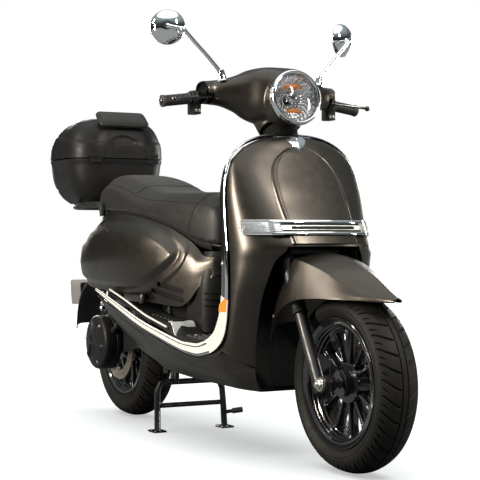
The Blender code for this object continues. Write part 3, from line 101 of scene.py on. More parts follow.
# ---- materials ----
def finish(name, color, rough, metallic=0.0, vary=0.18, patch=7.0, grain=900.0, bump=0.1, depth=0.0004,
           cells=False, stretch=(1, 1, 1), rings=0.0, rough_vary=0.06, dust=0.0, **sockets):
    """A procedural finish: patchy colour and sheen, and a fine grain, cells or turned rings in the bump."""
    made = bpy.data.materials.new(name)
    made.use_nodes = True
    tree = made.node_tree
    shader = tree.nodes["Principled BSDF"]
    shader.inputs["Metallic"].default_value = metallic
    for socket, value in sockets.items():
        shader.inputs[socket.replace("_", " ")].default_value = value

    def node(kind, **inputs):
        new = tree.nodes.new("ShaderNode" + kind)
        for key, value in inputs.items():
            socket = new.inputs[key.replace("_", " ")]
            if isinstance(value, bpy.types.NodeSocket):
                tree.links.new(value, socket)
            else:
                socket.default_value = value
        return new

    place = node("TexCoord").outputs["Object"]
    spots = node("TexNoise", Vector=place, Scale=patch, Detail=5.0, Roughness=0.6).outputs["Fac"]
    mix = tree.nodes.new("ShaderNodeMix")
    mix.data_type = "RGBA"
    tree.links.new(node("MapRange", Value=spots, From_Min=0.3, From_Max=0.7).outputs["Result"],
                   mix.inputs["Factor"])
    mix.inputs["A"].default_value = (*[c * (1 - vary) for c in color], 1)
    mix.inputs["B"].default_value = (*[min(c * (1 + vary), 1) for c in color], 1)
    shade = mix.outputs["Result"]
    if dust:
        up = node("SeparateXYZ",
                  Vector=tree.nodes.new("ShaderNodeNewGeometry").outputs["Normal"]).outputs["Z"]
        film = node("MapRange", Value=up, From_Min=0.3, From_Max=1.0, To_Max=dust).outputs["Result"]
        powder = tree.nodes.new("ShaderNodeMix")
        powder.data_type = "RGBA"
        tree.links.new(film, powder.inputs["Factor"])
        tree.links.new(shade, powder.inputs["A"])
        powder.inputs["B"].default_value = (0.1, 0.095, 0.085, 1)
        shade = powder.outputs["Result"]
    tree.links.new(shade, shader.inputs["Base Color"])
    fine = node("TexNoise", Vector=place, Scale=patch * 6, Detail=3.0).outputs["Fac"]
    tree.links.new(node("MapRange", Value=fine, From_Min=0.3, From_Max=0.7,
                        To_Min=max(rough - rough_vary, 0.02), To_Max=rough + rough_vary).outputs["Result"],
                   shader.inputs["Roughness"])
    if rings:
        wave = node("TexWave", Vector=place, Scale=rings, Distortion=0.6, Detail=1.0)
        wave.wave_type = "RINGS"
        wave.rings_direction = "Y"
        height = wave.outputs["Fac"]
    else:
        spread = node("VectorMath", Vector=place)
        spread.operation = "MULTIPLY"
        spread.inputs[1].default_value = stretch
        if cells:
            height = node("TexVoronoi", Vector=spread.outputs["Vector"], Scale=grain).outputs["Distance"]
        else:
            height = node("TexNoise", Vector=spread.outputs["Vector"], Scale=grain, Detail=2.0).outputs["Fac"]
    relief = node("Bump", Strength=bump, Distance=depth, Height=height)
    tree.links.new(relief.outputs["Normal"], shader.inputs["Normal"])
    return made


PAINT = finish("matt_bronze_black_paint", (0.05, 0.0445, 0.038), 0.33, 0.92, vary=0.07, grain=2600, bump=0.08,
               depth=0.0002, rough_vary=0.03, Coat_Weight=0.08, Coat_Roughness=0.25)
PANEL_BLACK = finish("textured_black_plastic", (0.0085, 0.0083, 0.008), 0.48, grain=1500, bump=0.2,
                     dust=0.015, Specular_IOR_Level=0.2)
CASE_BLACK = finish("satin_case_plastic", (0.008, 0.008, 0.0085), 0.42, grain=1900, bump=0.14, dust=0.01,
                    Specular_IOR_Level=0.12)
DARK = finish("deep_black_plastic", (0.003, 0.003, 0.003), 0.7, grain=1200, bump=0.2, Specular_IOR_Level=0.22)
GLOSS = finish("gloss_black_alloy", (0.007, 0.007, 0.008), 0.13, 0.0, grain=500, bump=0.05, rough_vary=0.03,
               Coat_Weight=0.8, Coat_Roughness=0.05)
STAND_BLACK = finish("gloss_black_tube", (0.006, 0.006, 0.0065), 0.24, 0.0, grain=260, bump=0.02,
                     rough_vary=0.03, Coat_Weight=0.3, Coat_Roughness=0.12)
FRAME_BLACK = finish("painted_frame_steel", (0.006, 0.006, 0.006), 0.46, 0.0, grain=420, bump=0.2, dust=0.02,
                     Specular_IOR_Level=0.35)
CHROME = finish("bright_chrome", (0.78, 0.79, 0.8), 0.05, 1.0, vary=0.04, grain=60, bump=0.03,
                rough_vary=0.02)
SATIN_CHROME = finish("satin_chrome", (0.78, 0.79, 0.74), 0.3, 0.45, vary=0.03, grain=900, bump=0.02)
ALLOY = finish("cast_alloy", (0.36, 0.36, 0.36), 0.42, 0.9, grain=800, bump=0.1)
DARK_ALLOY = finish("grey_painted_alloy", (0.02, 0.0195, 0.0185), 0.38, 0.3, grain=900, bump=0.08)
BOLT = finish("zinc_bolt", (0.55, 0.54, 0.5), 0.3, 1.0, grain=1500, bump=0.1)
DISC = finish("brake_disc_steel", (0.56, 0.45, 0.34), 0.3, 1.0, vary=0.12, rings=260.0, bump=0.16)
RUBBER = finish("tyre_rubber", (0.0095, 0.009, 0.0082), 0.56, vary=0.22, patch=16, grain=1400,
                bump=0.22, dust=0.02, Specular_IOR_Level=0.09)
GRIP = finish("grip_rubber", (0.014, 0.014, 0.014), 0.66, grain=2000, bump=0.35)
VINYL = finish("seat_vinyl", (0.009, 0.0086, 0.0082), 0.44, vary=0.14, cells=True, grain=820, bump=0.3,
               depth=0.0005, dust=0.012, Specular_IOR_Level=0.17, Sheen_Weight=0.05, Sheen_Roughness=0.5)
THREAD = finish("seat_thread", (0.03, 0.029, 0.028), 0.75, grain=3500, bump=0.6)
LENS = finish("clear_lens", (0.96, 0.97, 0.98), 0.03, grain=70, bump=0.02, rough_vary=0.01,
              Transmission_Weight=1.0, IOR=1.46)
FLUTED = finish("fluted_lens", (0.96, 0.97, 0.98), 0.06, grain=55, bump=0.5, depth=0.002, rough_vary=0.02,
                Transmission_Weight=0.92, IOR=1.45)
AMBER = finish("amber_lens", (0.85, 0.26, 0.02), 0.14, grain=160, bump=0.3, Transmission_Weight=0.35)
RED = finish("red_lens", (0.42, 0.01, 0.008), 0.1, grain=120, bump=0.3, Transmission_Weight=0.35)
MIRROR_GLASS = finish("mirror_glass", (0.82, 0.84, 0.86), 0.015, 1.0, vary=0.02, bump=0.0, rough_vary=0.004)
PLATE = finish("plate_grey", (0.46, 0.46, 0.44), 0.45, grain=500, bump=0.1)
REFLECTOR = finish("lamp_reflector", (0.86, 0.86, 0.87), 0.08, 1.0, vary=0.06, grain=240, bump=0.25,
                   depth=0.001)
MAT = finish("rubber_floor_mat", (0.009, 0.009, 0.009), 0.5, cells=True, grain=500, bump=0.16, dust=0.03)
GLASS_BLACK = finish("dash_glass", (0.006, 0.006, 0.007), 0.06, grain=80, bump=0.02, rough_vary=0.02,
                     Coat_Weight=1.0)


# ---- building blocks ----
def mirrored(point, side=-1):
    return vec(point[0], point[1] * side, point[2])


def steer(t, q=0.0, y=0.0):
    """A point t up the steering axis from its top, q ahead of it and y to the side."""
    return vec(STEM_TOP.x - t * sin(CASTER) + q * cos(CASTER), y,
               STEM_TOP.z + t * cos(CASTER) + q * sin(CASTER))


def spline(points, per, breaks=()):
    """Points along a smooth curve through the given ones, with a corner at each break."""
    points = [Vector(p) for p in points]
    last = len(points) - 1
    path = []
    for i in range(last):
        p1, p2 = points[i], points[i + 1]
        p0 = points[i - 1] if i > 0 and i not in breaks else p1 * 2 - p2
        p3 = points[i + 2] if i + 2 <= last and i + 1 not in breaks else p2 * 2 - p1
        for step in range(per):
            t = step / per
            path.append(0.5 * (2 * p1 + (p2 - p0) * t + (2 * p0 - 5 * p1 + 4 * p2 - p3) * t * t
                               + (3 * p1 - p0 - 3 * p2 + p3) * t * t * t))
    path.append(points[-1])
    return path


def refine(rows, along, across, breaks_along=(), breaks_across=()):
    """A coarse grid of points made fine, smooth both ways except at the breaks."""
    rows = [spline(row, across, breaks_across) if across > 1 else row for row in rows]
    columns = [spline(column, along, breaks_along) for column in zip(*rows)]
    return [list(row) for row in zip(*columns)]


def both(rows):
    """Rows that start on the centre line, made whole with their mirror image."""
    return [[mirrored(p) for p in reversed(row[1:])] + list(row) for row in rows]


def all_round(count):
    """Angles all the way round, in equal steps."""
    return [2 * pi * k / count for k in range(count)]


def squarer(value, power):
    """A sine or cosine that makes a circle squarer, with its sign kept."""
    return copysign(abs(value) ** power, value)


def lerp(table, x):
    """The value at x from a table of (x, value) pairs, level beyond its ends."""
    if x <= table[0][0]:
        return table[0][1]
    for (x0, v0), (x1, v1) in zip(table, table[1:]):
        if x <= x1:
            return v0 + (v1 - v0) * (x - x0) / (x1 - x0)
    return table[-1][1]


def added(name, data):
    """A new object in the scene."""
    obj = bpy.data.objects.new(name, data)
    bpy.context.scene.collection.objects.link(obj)
    return obj


def piece(name, mesh, body, material, angle=38.0, slot=None, replaces=()):
    """A finished mesh as a piece that rides on a body."""
    for polygon in mesh.polygons:
        polygon.use_smooth = True
    if angle:
        mesh.set_sharp_from_angle(angle=radians(angle))
    obj = added(name, mesh)
    obj.location = SHIFT
    mesh.materials.append(material)
    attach(obj, body)
    if replaces:
        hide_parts(*([replaces] if isinstance(replaces, str) else replaces))
    return obj


def rounded(obj, width, segments=2):
    """Bevels an object's sharp edges."""
    modifier = obj.modifiers.new("edge", "BEVEL")
    modifier.width = width
    modifier.segments = segments
    modifier.limit_method = "ANGLE"
    modifier.angle_limit = radians(40)
    modifier.harden_normals = True
    return obj


def mesh_from(verts, faces):
    mesh = bpy.data.meshes.new("piece")
    mesh.from_pydata([tuple(v) for v in verts], [], faces)
    return mesh


def grid(rows, wrap=False, skip=None):
    """Vertices and faces of a grid of points; wrap closes each row on itself."""
    count = len(rows[0])
    verts = [p for row in rows for p in row]
    faces = []
    for i in range(len(rows) - 1):
        for j in range(count if wrap else count - 1):
            if skip and skip(i, j):
                continue
            k = (j + 1) % count
            faces.append((i * count + j, i * count + k, (i + 1) * count + k, (i + 1) * count + j))
    return verts, faces


def clean(mesh, within=1e-6):
    """Joins doubled vertices, drops loose ones and turns the faces outward."""
    bm = bmesh.new()
    bm.from_mesh(mesh)
    bmesh.ops.remove_doubles(bm, verts=bm.verts, dist=within)
    bmesh.ops.delete(bm, geom=[v for v in bm.verts if not v.link_faces], context="VERTS")
    bmesh.ops.recalc_face_normals(bm, faces=bm.faces)
    bm.to_mesh(mesh)
    bm.free()
    return mesh


def shell(name, rows, body, material, thickness=PANEL, skip=None, offset=0.0, edge=0.0008, **rest):
    """A thin moulded panel over a fine grid of points, with rounded edges."""
    obj = piece(name, clean(mesh_from(*grid(rows, skip=skip))), body, material, **rest)
    wall = obj.modifiers.new("wall", "SOLIDIFY")
    wall.thickness = thickness
    wall.offset = offset
    wall.use_even_offset = False
    return rounded(obj, edge) if edge else obj


def loft_mesh(rings):
    """A closed solid through rings of equally many points."""
    verts, faces = grid(rings, wrap=True)
    count = len(rings[0])
    faces.append(tuple(reversed(range(count))))
    faces.append(tuple(range(len(verts) - count, len(verts))))
    return clean(mesh_from(verts, faces))


def turned_mesh(profile, centre, axis, steps=96, closed=True, start=0.0, shape=None):
    """A body of revolution from (radius, height along axis) pairs; shape may bend (radius, height, angle)."""
    turn = vec(0, 0, 1).rotation_difference(Vector(axis))
    rows = []
    for k in range(steps):
        angle = 2 * pi * k / steps + start
        row = []
        for radius, height in profile:
            r, h = shape(radius, height, angle) if shape else (radius, height)
            row.append(Vector(centre) + turn @ vec(r * cos(angle), r * sin(angle), h))
        rows.append(row + row[:1] if closed else row)
    rows.append(rows[0])
    return clean(mesh_from(*grid(rows)), 2e-6)


def curve_of(profile, per=5, breaks=()):
    """A (radius, height) outline made smooth."""
    return [(p.x, p.y) for p in spline([(r, h, 0) for r, h in profile], per, breaks)]


def tube_mesh(points, radius, sides=16, flat=1.0, cap=True):
    """A round bar along a path; radius may be one number or one for each point."""
    points = [Vector(p) for p in points]
    radii = radius if isinstance(radius, (list, tuple)) else [radius] * len(points)
    rings = []
    across = None
    for i, p in enumerate(points):
        along = (points[min(i + 1, len(points) - 1)] - points[max(i - 1, 0)]).normalized()
        if across is None:
            across = along.orthogonal().normalized()
        across = (across - along * across.dot(along)).normalized()
        up = along.cross(across)
        rings.append([p + (across * cos(a) + up * sin(a) * flat) * radii[i]
                      for a in all_round(sides)])
    return loft_mesh(rings) if cap else clean(mesh_from(*grid(rings, wrap=True)))


def block_mesh(low, high):
    """A box between two corners, for rounding."""
    (x0, x1), (y0, y1), (z0, z1) = [sorted(pair) for pair in zip(low, high)]
    ring = [(x0, y0), (x1, y0), (x1, y1), (x0, y1)]
    return loft_mesh([[vec(x, y, z) for x, y in ring] for z in (z0, z1)])


def merged(*meshes):
    """Several meshes in one."""
    bm = bmesh.new()
    for mesh in meshes:
        bm.from_mesh(mesh)
    mesh = bpy.data.meshes.new("piece")
    bm.to_mesh(mesh)
    bm.free()
    return mesh


def moved(mesh, matrix):
    """A copy of a mesh carried by a matrix, with its faces turned back out if that mirrors it."""
    mesh = mesh.copy()
    mesh.transform(matrix)
    if matrix.determinant() < 0:
        mesh.flip_normals()
    return mesh


def flipped(mesh):
    """The same mesh on the other side of the scooter."""
    return moved(mesh, Matrix.Diagonal((1, -1, 1, 1)))


def spun(mesh, count, centre, axis=(0, 1, 0), start=0.0):
    """Copies of a mesh in a circle about an axis through a point."""
    made = []
    for k in range(count):
        turn = Matrix.Rotation(start + 2 * pi * k / count, 4, Vector(axis))
        made.append(moved(mesh, Matrix.Translation(centre) @ turn @ Matrix.Translation(-Vector(centre))))
    return merged(*made)


def baked(obj):
    """Applies an object's modifiers."""
    graph = bpy.context.evaluated_depsgraph_get()
    graph.update()
    mesh = bpy.data.meshes.new_from_object(obj.evaluated_get(graph))
    obj.modifiers.clear()
    obj.data = mesh
    return obj


def remesh(obj, voxel):
    """A voxel remesh, applied when the object is baked."""
    modifier = obj.modifiers.new("remesh", "REMESH")
    modifier.mode = "VOXEL"
    modifier.voxel_size = voxel


def carved(mesh, *cutters, operation="DIFFERENCE"):
    """A closed mesh cut by, or joined with, other closed meshes."""
    obj = added("carving", mesh)
    helpers = []
    for cutter in cutters:
        helper = added("cutter", cutter)
        helpers.append(helper)
        modifier = obj.modifiers.new("cut", "BOOLEAN")
        modifier.operation = operation
        modifier.solver = "EXACT"
        modifier.object = helper
    result = baked(obj).data
    for helper in helpers + [obj]:
        bpy.data.objects.remove(helper)
    return result


def bolt_mesh(centre, axis, radius=0.0055, height=0.004):
    """A cap screw: a rounded head with a round socket, and a washer under it."""
    profile = [(0.0, 0.5), (0.5, 0.5), (0.5, 1.0), (0.86, 1.0), (1.0, 0.8), (1.0, 0.2), (1.45, 0.2),
               (1.45, 0), (0.0, 0)]
    profile = [(radius * r, height * h) for r, h in profile]
    return turned_mesh(profile, centre, Vector(axis).normalized(), 18, closed=False)


def inside(polygon, x, z):
    """How far a point lies inside a closed outline in the XZ plane; negative outside."""
    best, odd = 1e9, False
    for (x0, z0), (x1, z1) in zip(polygon, polygon[1:] + polygon[:1]):
        dx, dz = x1 - x0, z1 - z0
        t = min(max(((x - x0) * dx + (z - z0) * dz) / (dx * dx + dz * dz + 1e-12), 0), 1)
        best = min(best, hypot(x - x0 - t * dx, z - z0 - t * dz))
        if (z0 > z) != (z1 > z) and x < x0 + (z - z0) / (z1 - z0) * dx:
            odd = not odd
    return best if odd else -best


def smoothstep(low, high, x):
    t = min(max((x - low) / (high - low), 0), 1)
    return t * t * (3 - 2 * t)


# ---- wheels ----
WHEEL_R = 0.2365
TREAD = [(0.156, 0.044), (0.1712, 0.047), (0.176, 0.0515), (0.184, 0.0568), (0.194, 0.0596), (0.203, 0.0592),
         (0.213, 0.0535), (0.222, 0.0448), (0.2285, 0.0335), (0.233, 0.0215), (0.2356, 0.0105),
         (WHEEL_R - 0.0004, 0)]
TYRE_STEPS = 880
SIPES = 34
# The tread ends and the sidewall begins at SHOULDER_R.
SHOULDER_R, SIPE_DEPTH, LINE_RISE = 0.196, 0.0048, 0.0009


def tyre_mesh():
    """A road tyre: curved slash sipes either side, a thin centre groove and rings on the sidewall."""
    half = curve_of(TREAD, 8)
    outline = np.array([(r, h) for r, h in half] + [(r, -h) for r, h in reversed(half[:-1])])
    radius, height = outline[:, 0], outline[:, 1]
    slope = np.gradient(outline, axis=0)
    out = np.stack([slope[:, 1], -slope[:, 0]], 1)
    out /= np.linalg.norm(out, axis=1)[:, None]
    out *= np.where((out @ np.array([1.0, 0.0]) > 0) | (np.abs(height) > 0.05), 1, -1)[:, None]
    out[:, 0] = np.abs(out[:, 0])
    out[:, 1] = np.abs(out[:, 1]) * np.sign(height)
    turn = np.arange(TYRE_STEPS) * 2 * pi / TYRE_STEPS
    angle, lateral = np.meshgrid(turn, height, indexing="ij")
    side = np.sign(lateral)
    span = np.abs(lateral)
    pitch = 2 * pi / SIPES
    bend = 0.135 * np.clip((span - 0.006) / 0.048, 0, 1) ** 1.7 + np.where(side > 0, pitch * 0.5, 0)
    phase = np.abs((angle - bend + pitch / 2) % pitch - pitch / 2) * WHEEL_R
    taper = np.clip((span - 0.007) / 0.012, 0, 1) * np.clip((0.0565 - span) / 0.006, 0, 1)
    slash = np.clip((0.0036 * taper - phase) / 0.001, 0, 1)
    short = np.abs((angle - bend - pitch * 0.45 + pitch / 2) % pitch - pitch / 2) * WHEEL_R
    short_taper = np.clip((span - 0.04) / 0.006, 0, 1) * np.clip((0.0555 - span) / 0.004, 0, 1)
    slash = np.maximum(slash, np.clip((0.0022 * short_taper - short) / 0.001, 0, 1))
    groove = np.clip((0.0017 - np.abs(span - 0.0085)) / 0.001, 0, 1)
    tread = radius[None, :] > SHOULDER_R
    depth = SIPE_DEPTH * np.maximum(slash, groove * 0.7) * tread
    wall = radius[None, :]
    lines = sum(np.clip((0.0009 - np.abs(wall - r)) / 0.0006, 0, 1) for r in (0.1775, 0.1905, 0.193))
    depth = depth - LINE_RISE * lines * (wall < SHOULDER_R)
    r = radius[None, :] - depth * out[None, :, 0]
    h = height[None, :] - depth * out[None, :, 1]
    verts = np.stack([r * np.cos(angle), h, r * np.sin(angle)], 2).reshape(-1, 3)
    count = len(height)
    i, j = np.meshgrid(np.arange(TYRE_STEPS), np.arange(count - 1), indexing="ij")
    nxt = (i + 1) % TYRE_STEPS
    faces = np.stack([i * count + j, i * count + j + 1, nxt * count + j + 1, nxt * count + j],
                     2).reshape(-1, 4)
    inner = [(0.156, -0.044), (0.156, 0.044)]
    base = len(verts)
    ring = np.array([[(q * cos(a), p, q * sin(a)) for q, p in inner] for a in turn]).reshape(-1, 3)
    close = [(base + 2 * k + 1, base + 2 * k, base + 2 * ((k + 1) % TYRE_STEPS),
              base + 2 * ((k + 1) % TYRE_STEPS) + 1)
             for k in range(TYRE_STEPS)]
    mesh = bpy.data.meshes.new("tyre")
    mesh.from_pydata(np.concatenate([verts, ring]).tolist(), [], faces.tolist() + close)
    return clean(mesh, 2e-6)


def rim_mesh():
    """One cast wheel without its spokes: lipped barrel with inner steps, and the hub."""
    half = [(0.0345, 0.044), (0.0345, 0.025), (0.05, 0.0215), (0.0525, 0.0215), (0.0525, 0.0175),
            (0.048, 0.012)]
    hub = half + [(r, -h) for r, h in reversed(half)]
    hub = [(0.0125, 0.044)] + hub + [(0.0125, -0.044)]
    inner = [(0.1675, 0.0524), (0.162, 0.05), (0.1545, 0.0495), (0.15, 0.0455), (0.15, 0.039),
             (0.1465, 0.0375), (0.1465, 0.029), (0.1425, 0.027), (0.1425, 0.017), (0.14, 0.015)]
    barrel = inner + [(r, -h) for r, h in reversed(inner)]
    barrel += [(0.169, -0.0528), (0.1712, -0.0515), (0.1712, -0.047), (0.1555, -0.0455), (0.153, -0.03),
               (0.153, 0.03), (0.1555, 0.0455), (0.1712, 0.047), (0.1712, 0.0515), (0.169, 0.0528)]
    return merged(turned_mesh(hub, (0, 0, 0), (0, -1, 0), 96),
                  turned_mesh(barrel, (0, 0, 0), (0, -1, 0), 160))


def spokes_mesh():
    """Fine radial blades, in pairs that share a root, between the hub ring and the barrel."""
    def blade(lean):
        rings = []
        for r, thick, deep in ((0.05, 0.0052, 0.0165), (0.07, 0.004, 0.015), (0.095, 0.0034, 0.0135),
                               (0.12, 0.0036, 0.013), (0.136, 0.005, 0.015), (0.144, 0.0075, 0.018)):
            shift = lean * (r - 0.05)
            ring = [(thick, deep * 0.75), (thick * 0.55, deep), (-thick * 0.55, deep), (-thick, deep * 0.75),
                    (-thick, -deep * 0.75), (-thick * 0.55, -deep), (thick * 0.55, -deep),
                    (thick, -deep * 0.75)]
            rings.append([vec(r, y, t + shift) for t, y in ring])
        return loft_mesh(rings)

    return spun(merged(blade(0.055), blade(-0.055)), 12, vec(0, 0, 0))


def disc_mesh(side):
    """A floating brake disc: a drilled ring on a spidered carrier."""
    face = 0.059 * side
    thick = 0.004 * side
    steps, holes = 240, 36

    def ring(inner, outer, low, high):
        profile = [(inner, low), (outer - 0.0006, low), (outer, low + (high - low) * 0.2),
                   (outer, high - (high - low) * 0.2), (outer - 0.0006, high), (inner, high)]
        return turned_mesh([(r, h) for r, h in profile], (0, 0, 0), (0, 1, 0), steps)

    plate = ring(0.078, 0.1095, face, face + thick)
    drills = []
    for k in range(holes):
        for row, radius in enumerate((0.0845, 0.093, 0.102)):
            a = 2 * pi * (k + (0.0, 0.33, 0.66)[row]) / holes
            if k % 3 == row or row == 1:
                spot = vec(radius * cos(a), face + thick / 2, radius * sin(a))
                drills.append(tube_mesh([spot - vec(0, 0.004, 0), spot + vec(0, 0.004, 0)], 0.0026, 10))
    plate = carved(plate, merged(*drills))
    carrier = ring(0.015, 0.042, face + thick * 0.1, face + thick * 0.9)
    arm = block_mesh((0.04, face + thick * 0.15, -0.006), (0.08, face + thick * 0.85, 0.006))
    bolt = bolt_mesh((0.032, face + thick, 0), (0, side, 0), 0.0042, 0.0035)
    hub = vec(0, 0, 0)
    return plate, merged(carrier, spun(arm, 6, hub)), spun(bolt, 5, hub, start=0.3)


def wheel(end, axle, disc_side):
    """One wheel: tyre, cast rim with spokes, hub cap, brake disc and valve."""
    body = end + "_wheel"
    at = Matrix.Translation(axle)
    piece(end + "_road_tyre", moved(TYRE, at), body, RUBBER, 50, "tyre", end + "_tyre")
    rim = piece(end + "_cast_rim", moved(RIM, at), body, GLOSS, 30, "gloss_black_alloy", end + "_rim")
    rounded(rim, 0.0006)
    spokes = piece(end + "_spokes", moved(SPOKES, at), body, GLOSS, 30, "gloss_black_alloy")
    rounded(spokes, 0.0007)
    outline = [(0.0, 0.0465), (0.012, 0.0465), (0.015, 0.044), (0.033, 0.0425), (0.0345, 0.04),
               (0.035, 0.023), (0.04, 0.0218), (0.049, 0.0218)]
    plate = turned_mesh(curve_of(outline, 2, (1, 3, 4, 5, 6)), (0, 0, 0), (0, -disc_side, 0), 64,
                        closed=False)
    piece(end + "_hub_cap", moved(plate, at), body, DARK_ALLOY, 35, "gloss_black_alloy")
    ring, carrier, bolts = disc_mesh(disc_side)
    plate = piece(end + "_disc_ring", moved(ring, at), body, DISC, 30, "disc_steel", end + "_disc")
    rounded(plate, 0.0003, 1)
    rounded(piece(end + "_disc_carrier", moved(carrier, at), body, GLOSS, 30, "gloss_black_alloy"), 0.0006)
    piece(end + "_disc_bolts", moved(bolts, at), body, BOLT, 30)
    valve = tube_mesh([axle + vec(0.012, -0.02, 0.1405), axle + vec(0.012, -0.026, 0.118)],
                      [0.004, 0.003], 12)
    piece(end + "_valve", valve, body, RUBBER, 40)


TYRE = tyre_mesh()
RIM = rim_mesh()
SPOKES = spokes_mesh()
wheel("front", FRONT_AXLE, 1)
wheel("rear", REAR_AXLE, -1)


# ---- front shield, nose panel and mudguard, as finely sampled versions of their CAD sheets ----
# Stations from the neck down: outer edge beside the trim, then centre line, as x, y, z.
SHIELD_UPPER = [
    ((0.364, 0.062, 0.894), (0.388, 0, 0.898)), ((0.366, 0.108, 0.885), (0.4, 0, 0.88)),
    ((0.369, 0.148, 0.866), (0.411, 0, 0.856)), ((0.373, 0.181, 0.838), (0.426, 0, 0.826)),
    ((0.377, 0.199, 0.806), (0.446, 0, 0.79)), ((0.381, 0.208, 0.765), (0.47, 0, 0.75)),
    ((0.387, 0.2125, 0.72), (0.494, 0, 0.708)), ((0.395, 0.2135, 0.65), (0.53, 0, 0.65)),
    ((0.404, 0.214, 0.59), (0.562, 0, 0.592)),
]
# Wing stations below the nose: outer edge, then the edge of the wheel well.
SHIELD_WING = [
    ((0.4085, 0.214, 0.545), (0.52, 0.138, 0.553)), ((0.4105, 0.214, 0.5), (0.5, 0.15, 0.502)),
    ((0.41, 0.214, 0.445), (0.47, 0.152, 0.447)), ((0.402, 0.2135, 0.388), (0.447, 0.152, 0.372)),
    ((0.388, 0.213, 0.345), (0.434, 0.151, 0.305)), ((0.36, 0.211, 0.302), (0.43, 0.148, 0.262)),
]
SHOULDER = [0.03, 0.05, 0.075, 0.1, 0.117, 0.123, 0.122, 0.118, 0.112]
INNER_STEPS, OUTER_STEPS, DOWN_STEPS = 12, 28, 6


def section_point(edge, centre_x, y):
    """X on a rounded section that starts square to Y at its edge and ends level at its centre."""
    s = min(y / edge.y, 1.0) ** (1 / 0.9)
    return edge.x + (centre_x - edge.x) * max(1 - s * s, 0.0) ** 0.45


def shield_rows():
    """Half the shield: its rounded front, then the wings beside the wheel well."""
    rows = []
    for (edge, centre), shoulder in zip(SHIELD_UPPER, SHOULDER):
        edge, centre = Vector(edge), Vector(centre)
        start = asin((shoulder / edge.y) ** (1 / 0.9))
        ys = [shoulder * k / INNER_STEPS for k in range(INNER_STEPS)]
        ys += [edge.y * sin(start + (pi / 2 - start) * k / OUTER_STEPS) ** 0.9
               for k in range(OUTER_STEPS + 1)]
        rise = edge.z - centre.z
        rows.append([vec(section_point(edge, centre.x, y), y, centre.z + rise * (y / edge.y) ** 2)
                     for y in ys])
    for edge, well in SHIELD_WING:
        edge, well = Vector(edge), Vector(well)
        start = asin((well.y / edge.y) ** (1 / 0.9))
        centre_x = edge.x + (well.x - edge.x) / cos(start) ** 0.9
        row = [vec(well.x, well.y * k / INNER_STEPS, well.z) for k in range(INNER_STEPS)]
        for k in range(OUTER_STEPS + 1):
            y = edge.y * sin(start + (pi / 2 - start) * k / OUTER_STEPS) ** 0.9
            z = well.z + (edge.z - well.z) * k / OUTER_STEPS
            row.append(vec(section_point(edge, centre_x, y), y, z))
        rows.append(row)
    return refine(rows, DOWN_STEPS, 1)


WELL_ROW = DOWN_STEPS * (len(SHIELD_UPPER) - 1)
shield = both(shield_rows())
MID = len(shield[0]) // 2
shell("leg_shield_skin", shield, "chassis", PAINT, slot="body_paint", replaces="front_shield", angle=30,
      skip=lambda i, j: i >= WELL_ROW and abs(j + 0.5 - MID) < INNER_STEPS)

# The nose panel: y of its edge at each height. It stands proud of the shield, with a rounded raised border.
NOSE = [(0.866, 0.03), (0.858, 0.046), (0.842, 0.07), (0.824, 0.089), (0.8, 0.103), (0.775, 0.11),
        (0.74, 0.112), (0.7, 0.1105), (0.65, 0.1065), (0.6, 0.1015)]
NOSE_PROUD = 0.009
EDGE_X = sorted((edge[2], edge[0]) for edge, _ in SHIELD_UPPER)
EDGE_Y = sorted((edge[2], edge[1]) for edge, _ in SHIELD_UPPER)
CENTRE_X = sorted((centre[2], centre[0]) for _, centre in SHIELD_UPPER)


def fine_table(table, per=8):
    return [(p.x, p.y) for p in spline([(a, b, 0) for a, b in table], per)]


EDGE_X, EDGE_Y, CENTRE_X = fine_table(EDGE_X), fine_table(EDGE_Y), fine_table(CENTRE_X)


def shield_x(z, y):
    """The shield's outer surface at a height and a distance from the centre."""
    return section_point(vec(lerp(EDGE_X, z), lerp(EDGE_Y, z), z), lerp(CENTRE_X, z), y)


def nose_rows():
    """Rises out of the shield over a rounded border, a little fuller along its rim."""
    rows = []
    across = [0, 0.15, 0.3, 0.45, 0.6, 0.72, 0.8, 0.85, 0.89, 0.92, 0.945, 0.965, 0.98, 0.99, 1.0]
    for z, half in fine_table(NOSE, 7):
        top = smoothstep(0.868, 0.85, z) if z > 0.85 else 1
        row = []
        for u in across:
            rim = exp(-((u - 0.93) / 0.035) ** 2) * 0.0014
            drop = max(u - 0.955, 0) / 0.045
            proud = (NOSE_PROUD + rim) * (1 - drop ** 2.2 * 0.9)
            row.append(vec(shield_x(z, half * u) + 0.001 + proud * (0.25 + 0.75 * top), half * u, z))
        rows.append(row)
    return rows


shell("nose_panel_skin", both(nose_rows()), "chassis", PAINT, thickness=0.003, slot="body_paint",
      replaces="nose_panel", angle=35, edge=0.0006)


def shield_point(z, turn, proud):
    """A point at an angle round the shield's section, this far outside its surface."""
    edge = vec(lerp(EDGE_X, z), lerp(EDGE_Y, z))
    centre_x = lerp(CENTRE_X, z)

    def at(angle):
        return vec(edge.x + (centre_x - edge.x) * cos(angle) ** 0.9, edge.y * sin(angle) ** 0.9)

    along = (at(turn + 0.001) - at(max(turn - 0.001, 0))).normalized()
    spot = at(turn) + vec(along.y, -along.x) * proud
    return vec(spot.x, max(spot.y, 0.0), z)


LED = [(0, 0.003), (0.0026, 0.0024), (0.0036, 0), (0.0036, -0.002), (0, -0.002)]
BAR_LOW, BAR_HIGH = 0.6245, 0.6625
BAR_END = radians(70)
LENS_START = radians(31)


def bar_proud(turn):
    """How far the bar stands off the shield; less beyond the rails, where the lenses are."""
    return NOSE_PROUD + 0.0065 - 0.007 * smoothstep(radians(36), radians(42), turn)


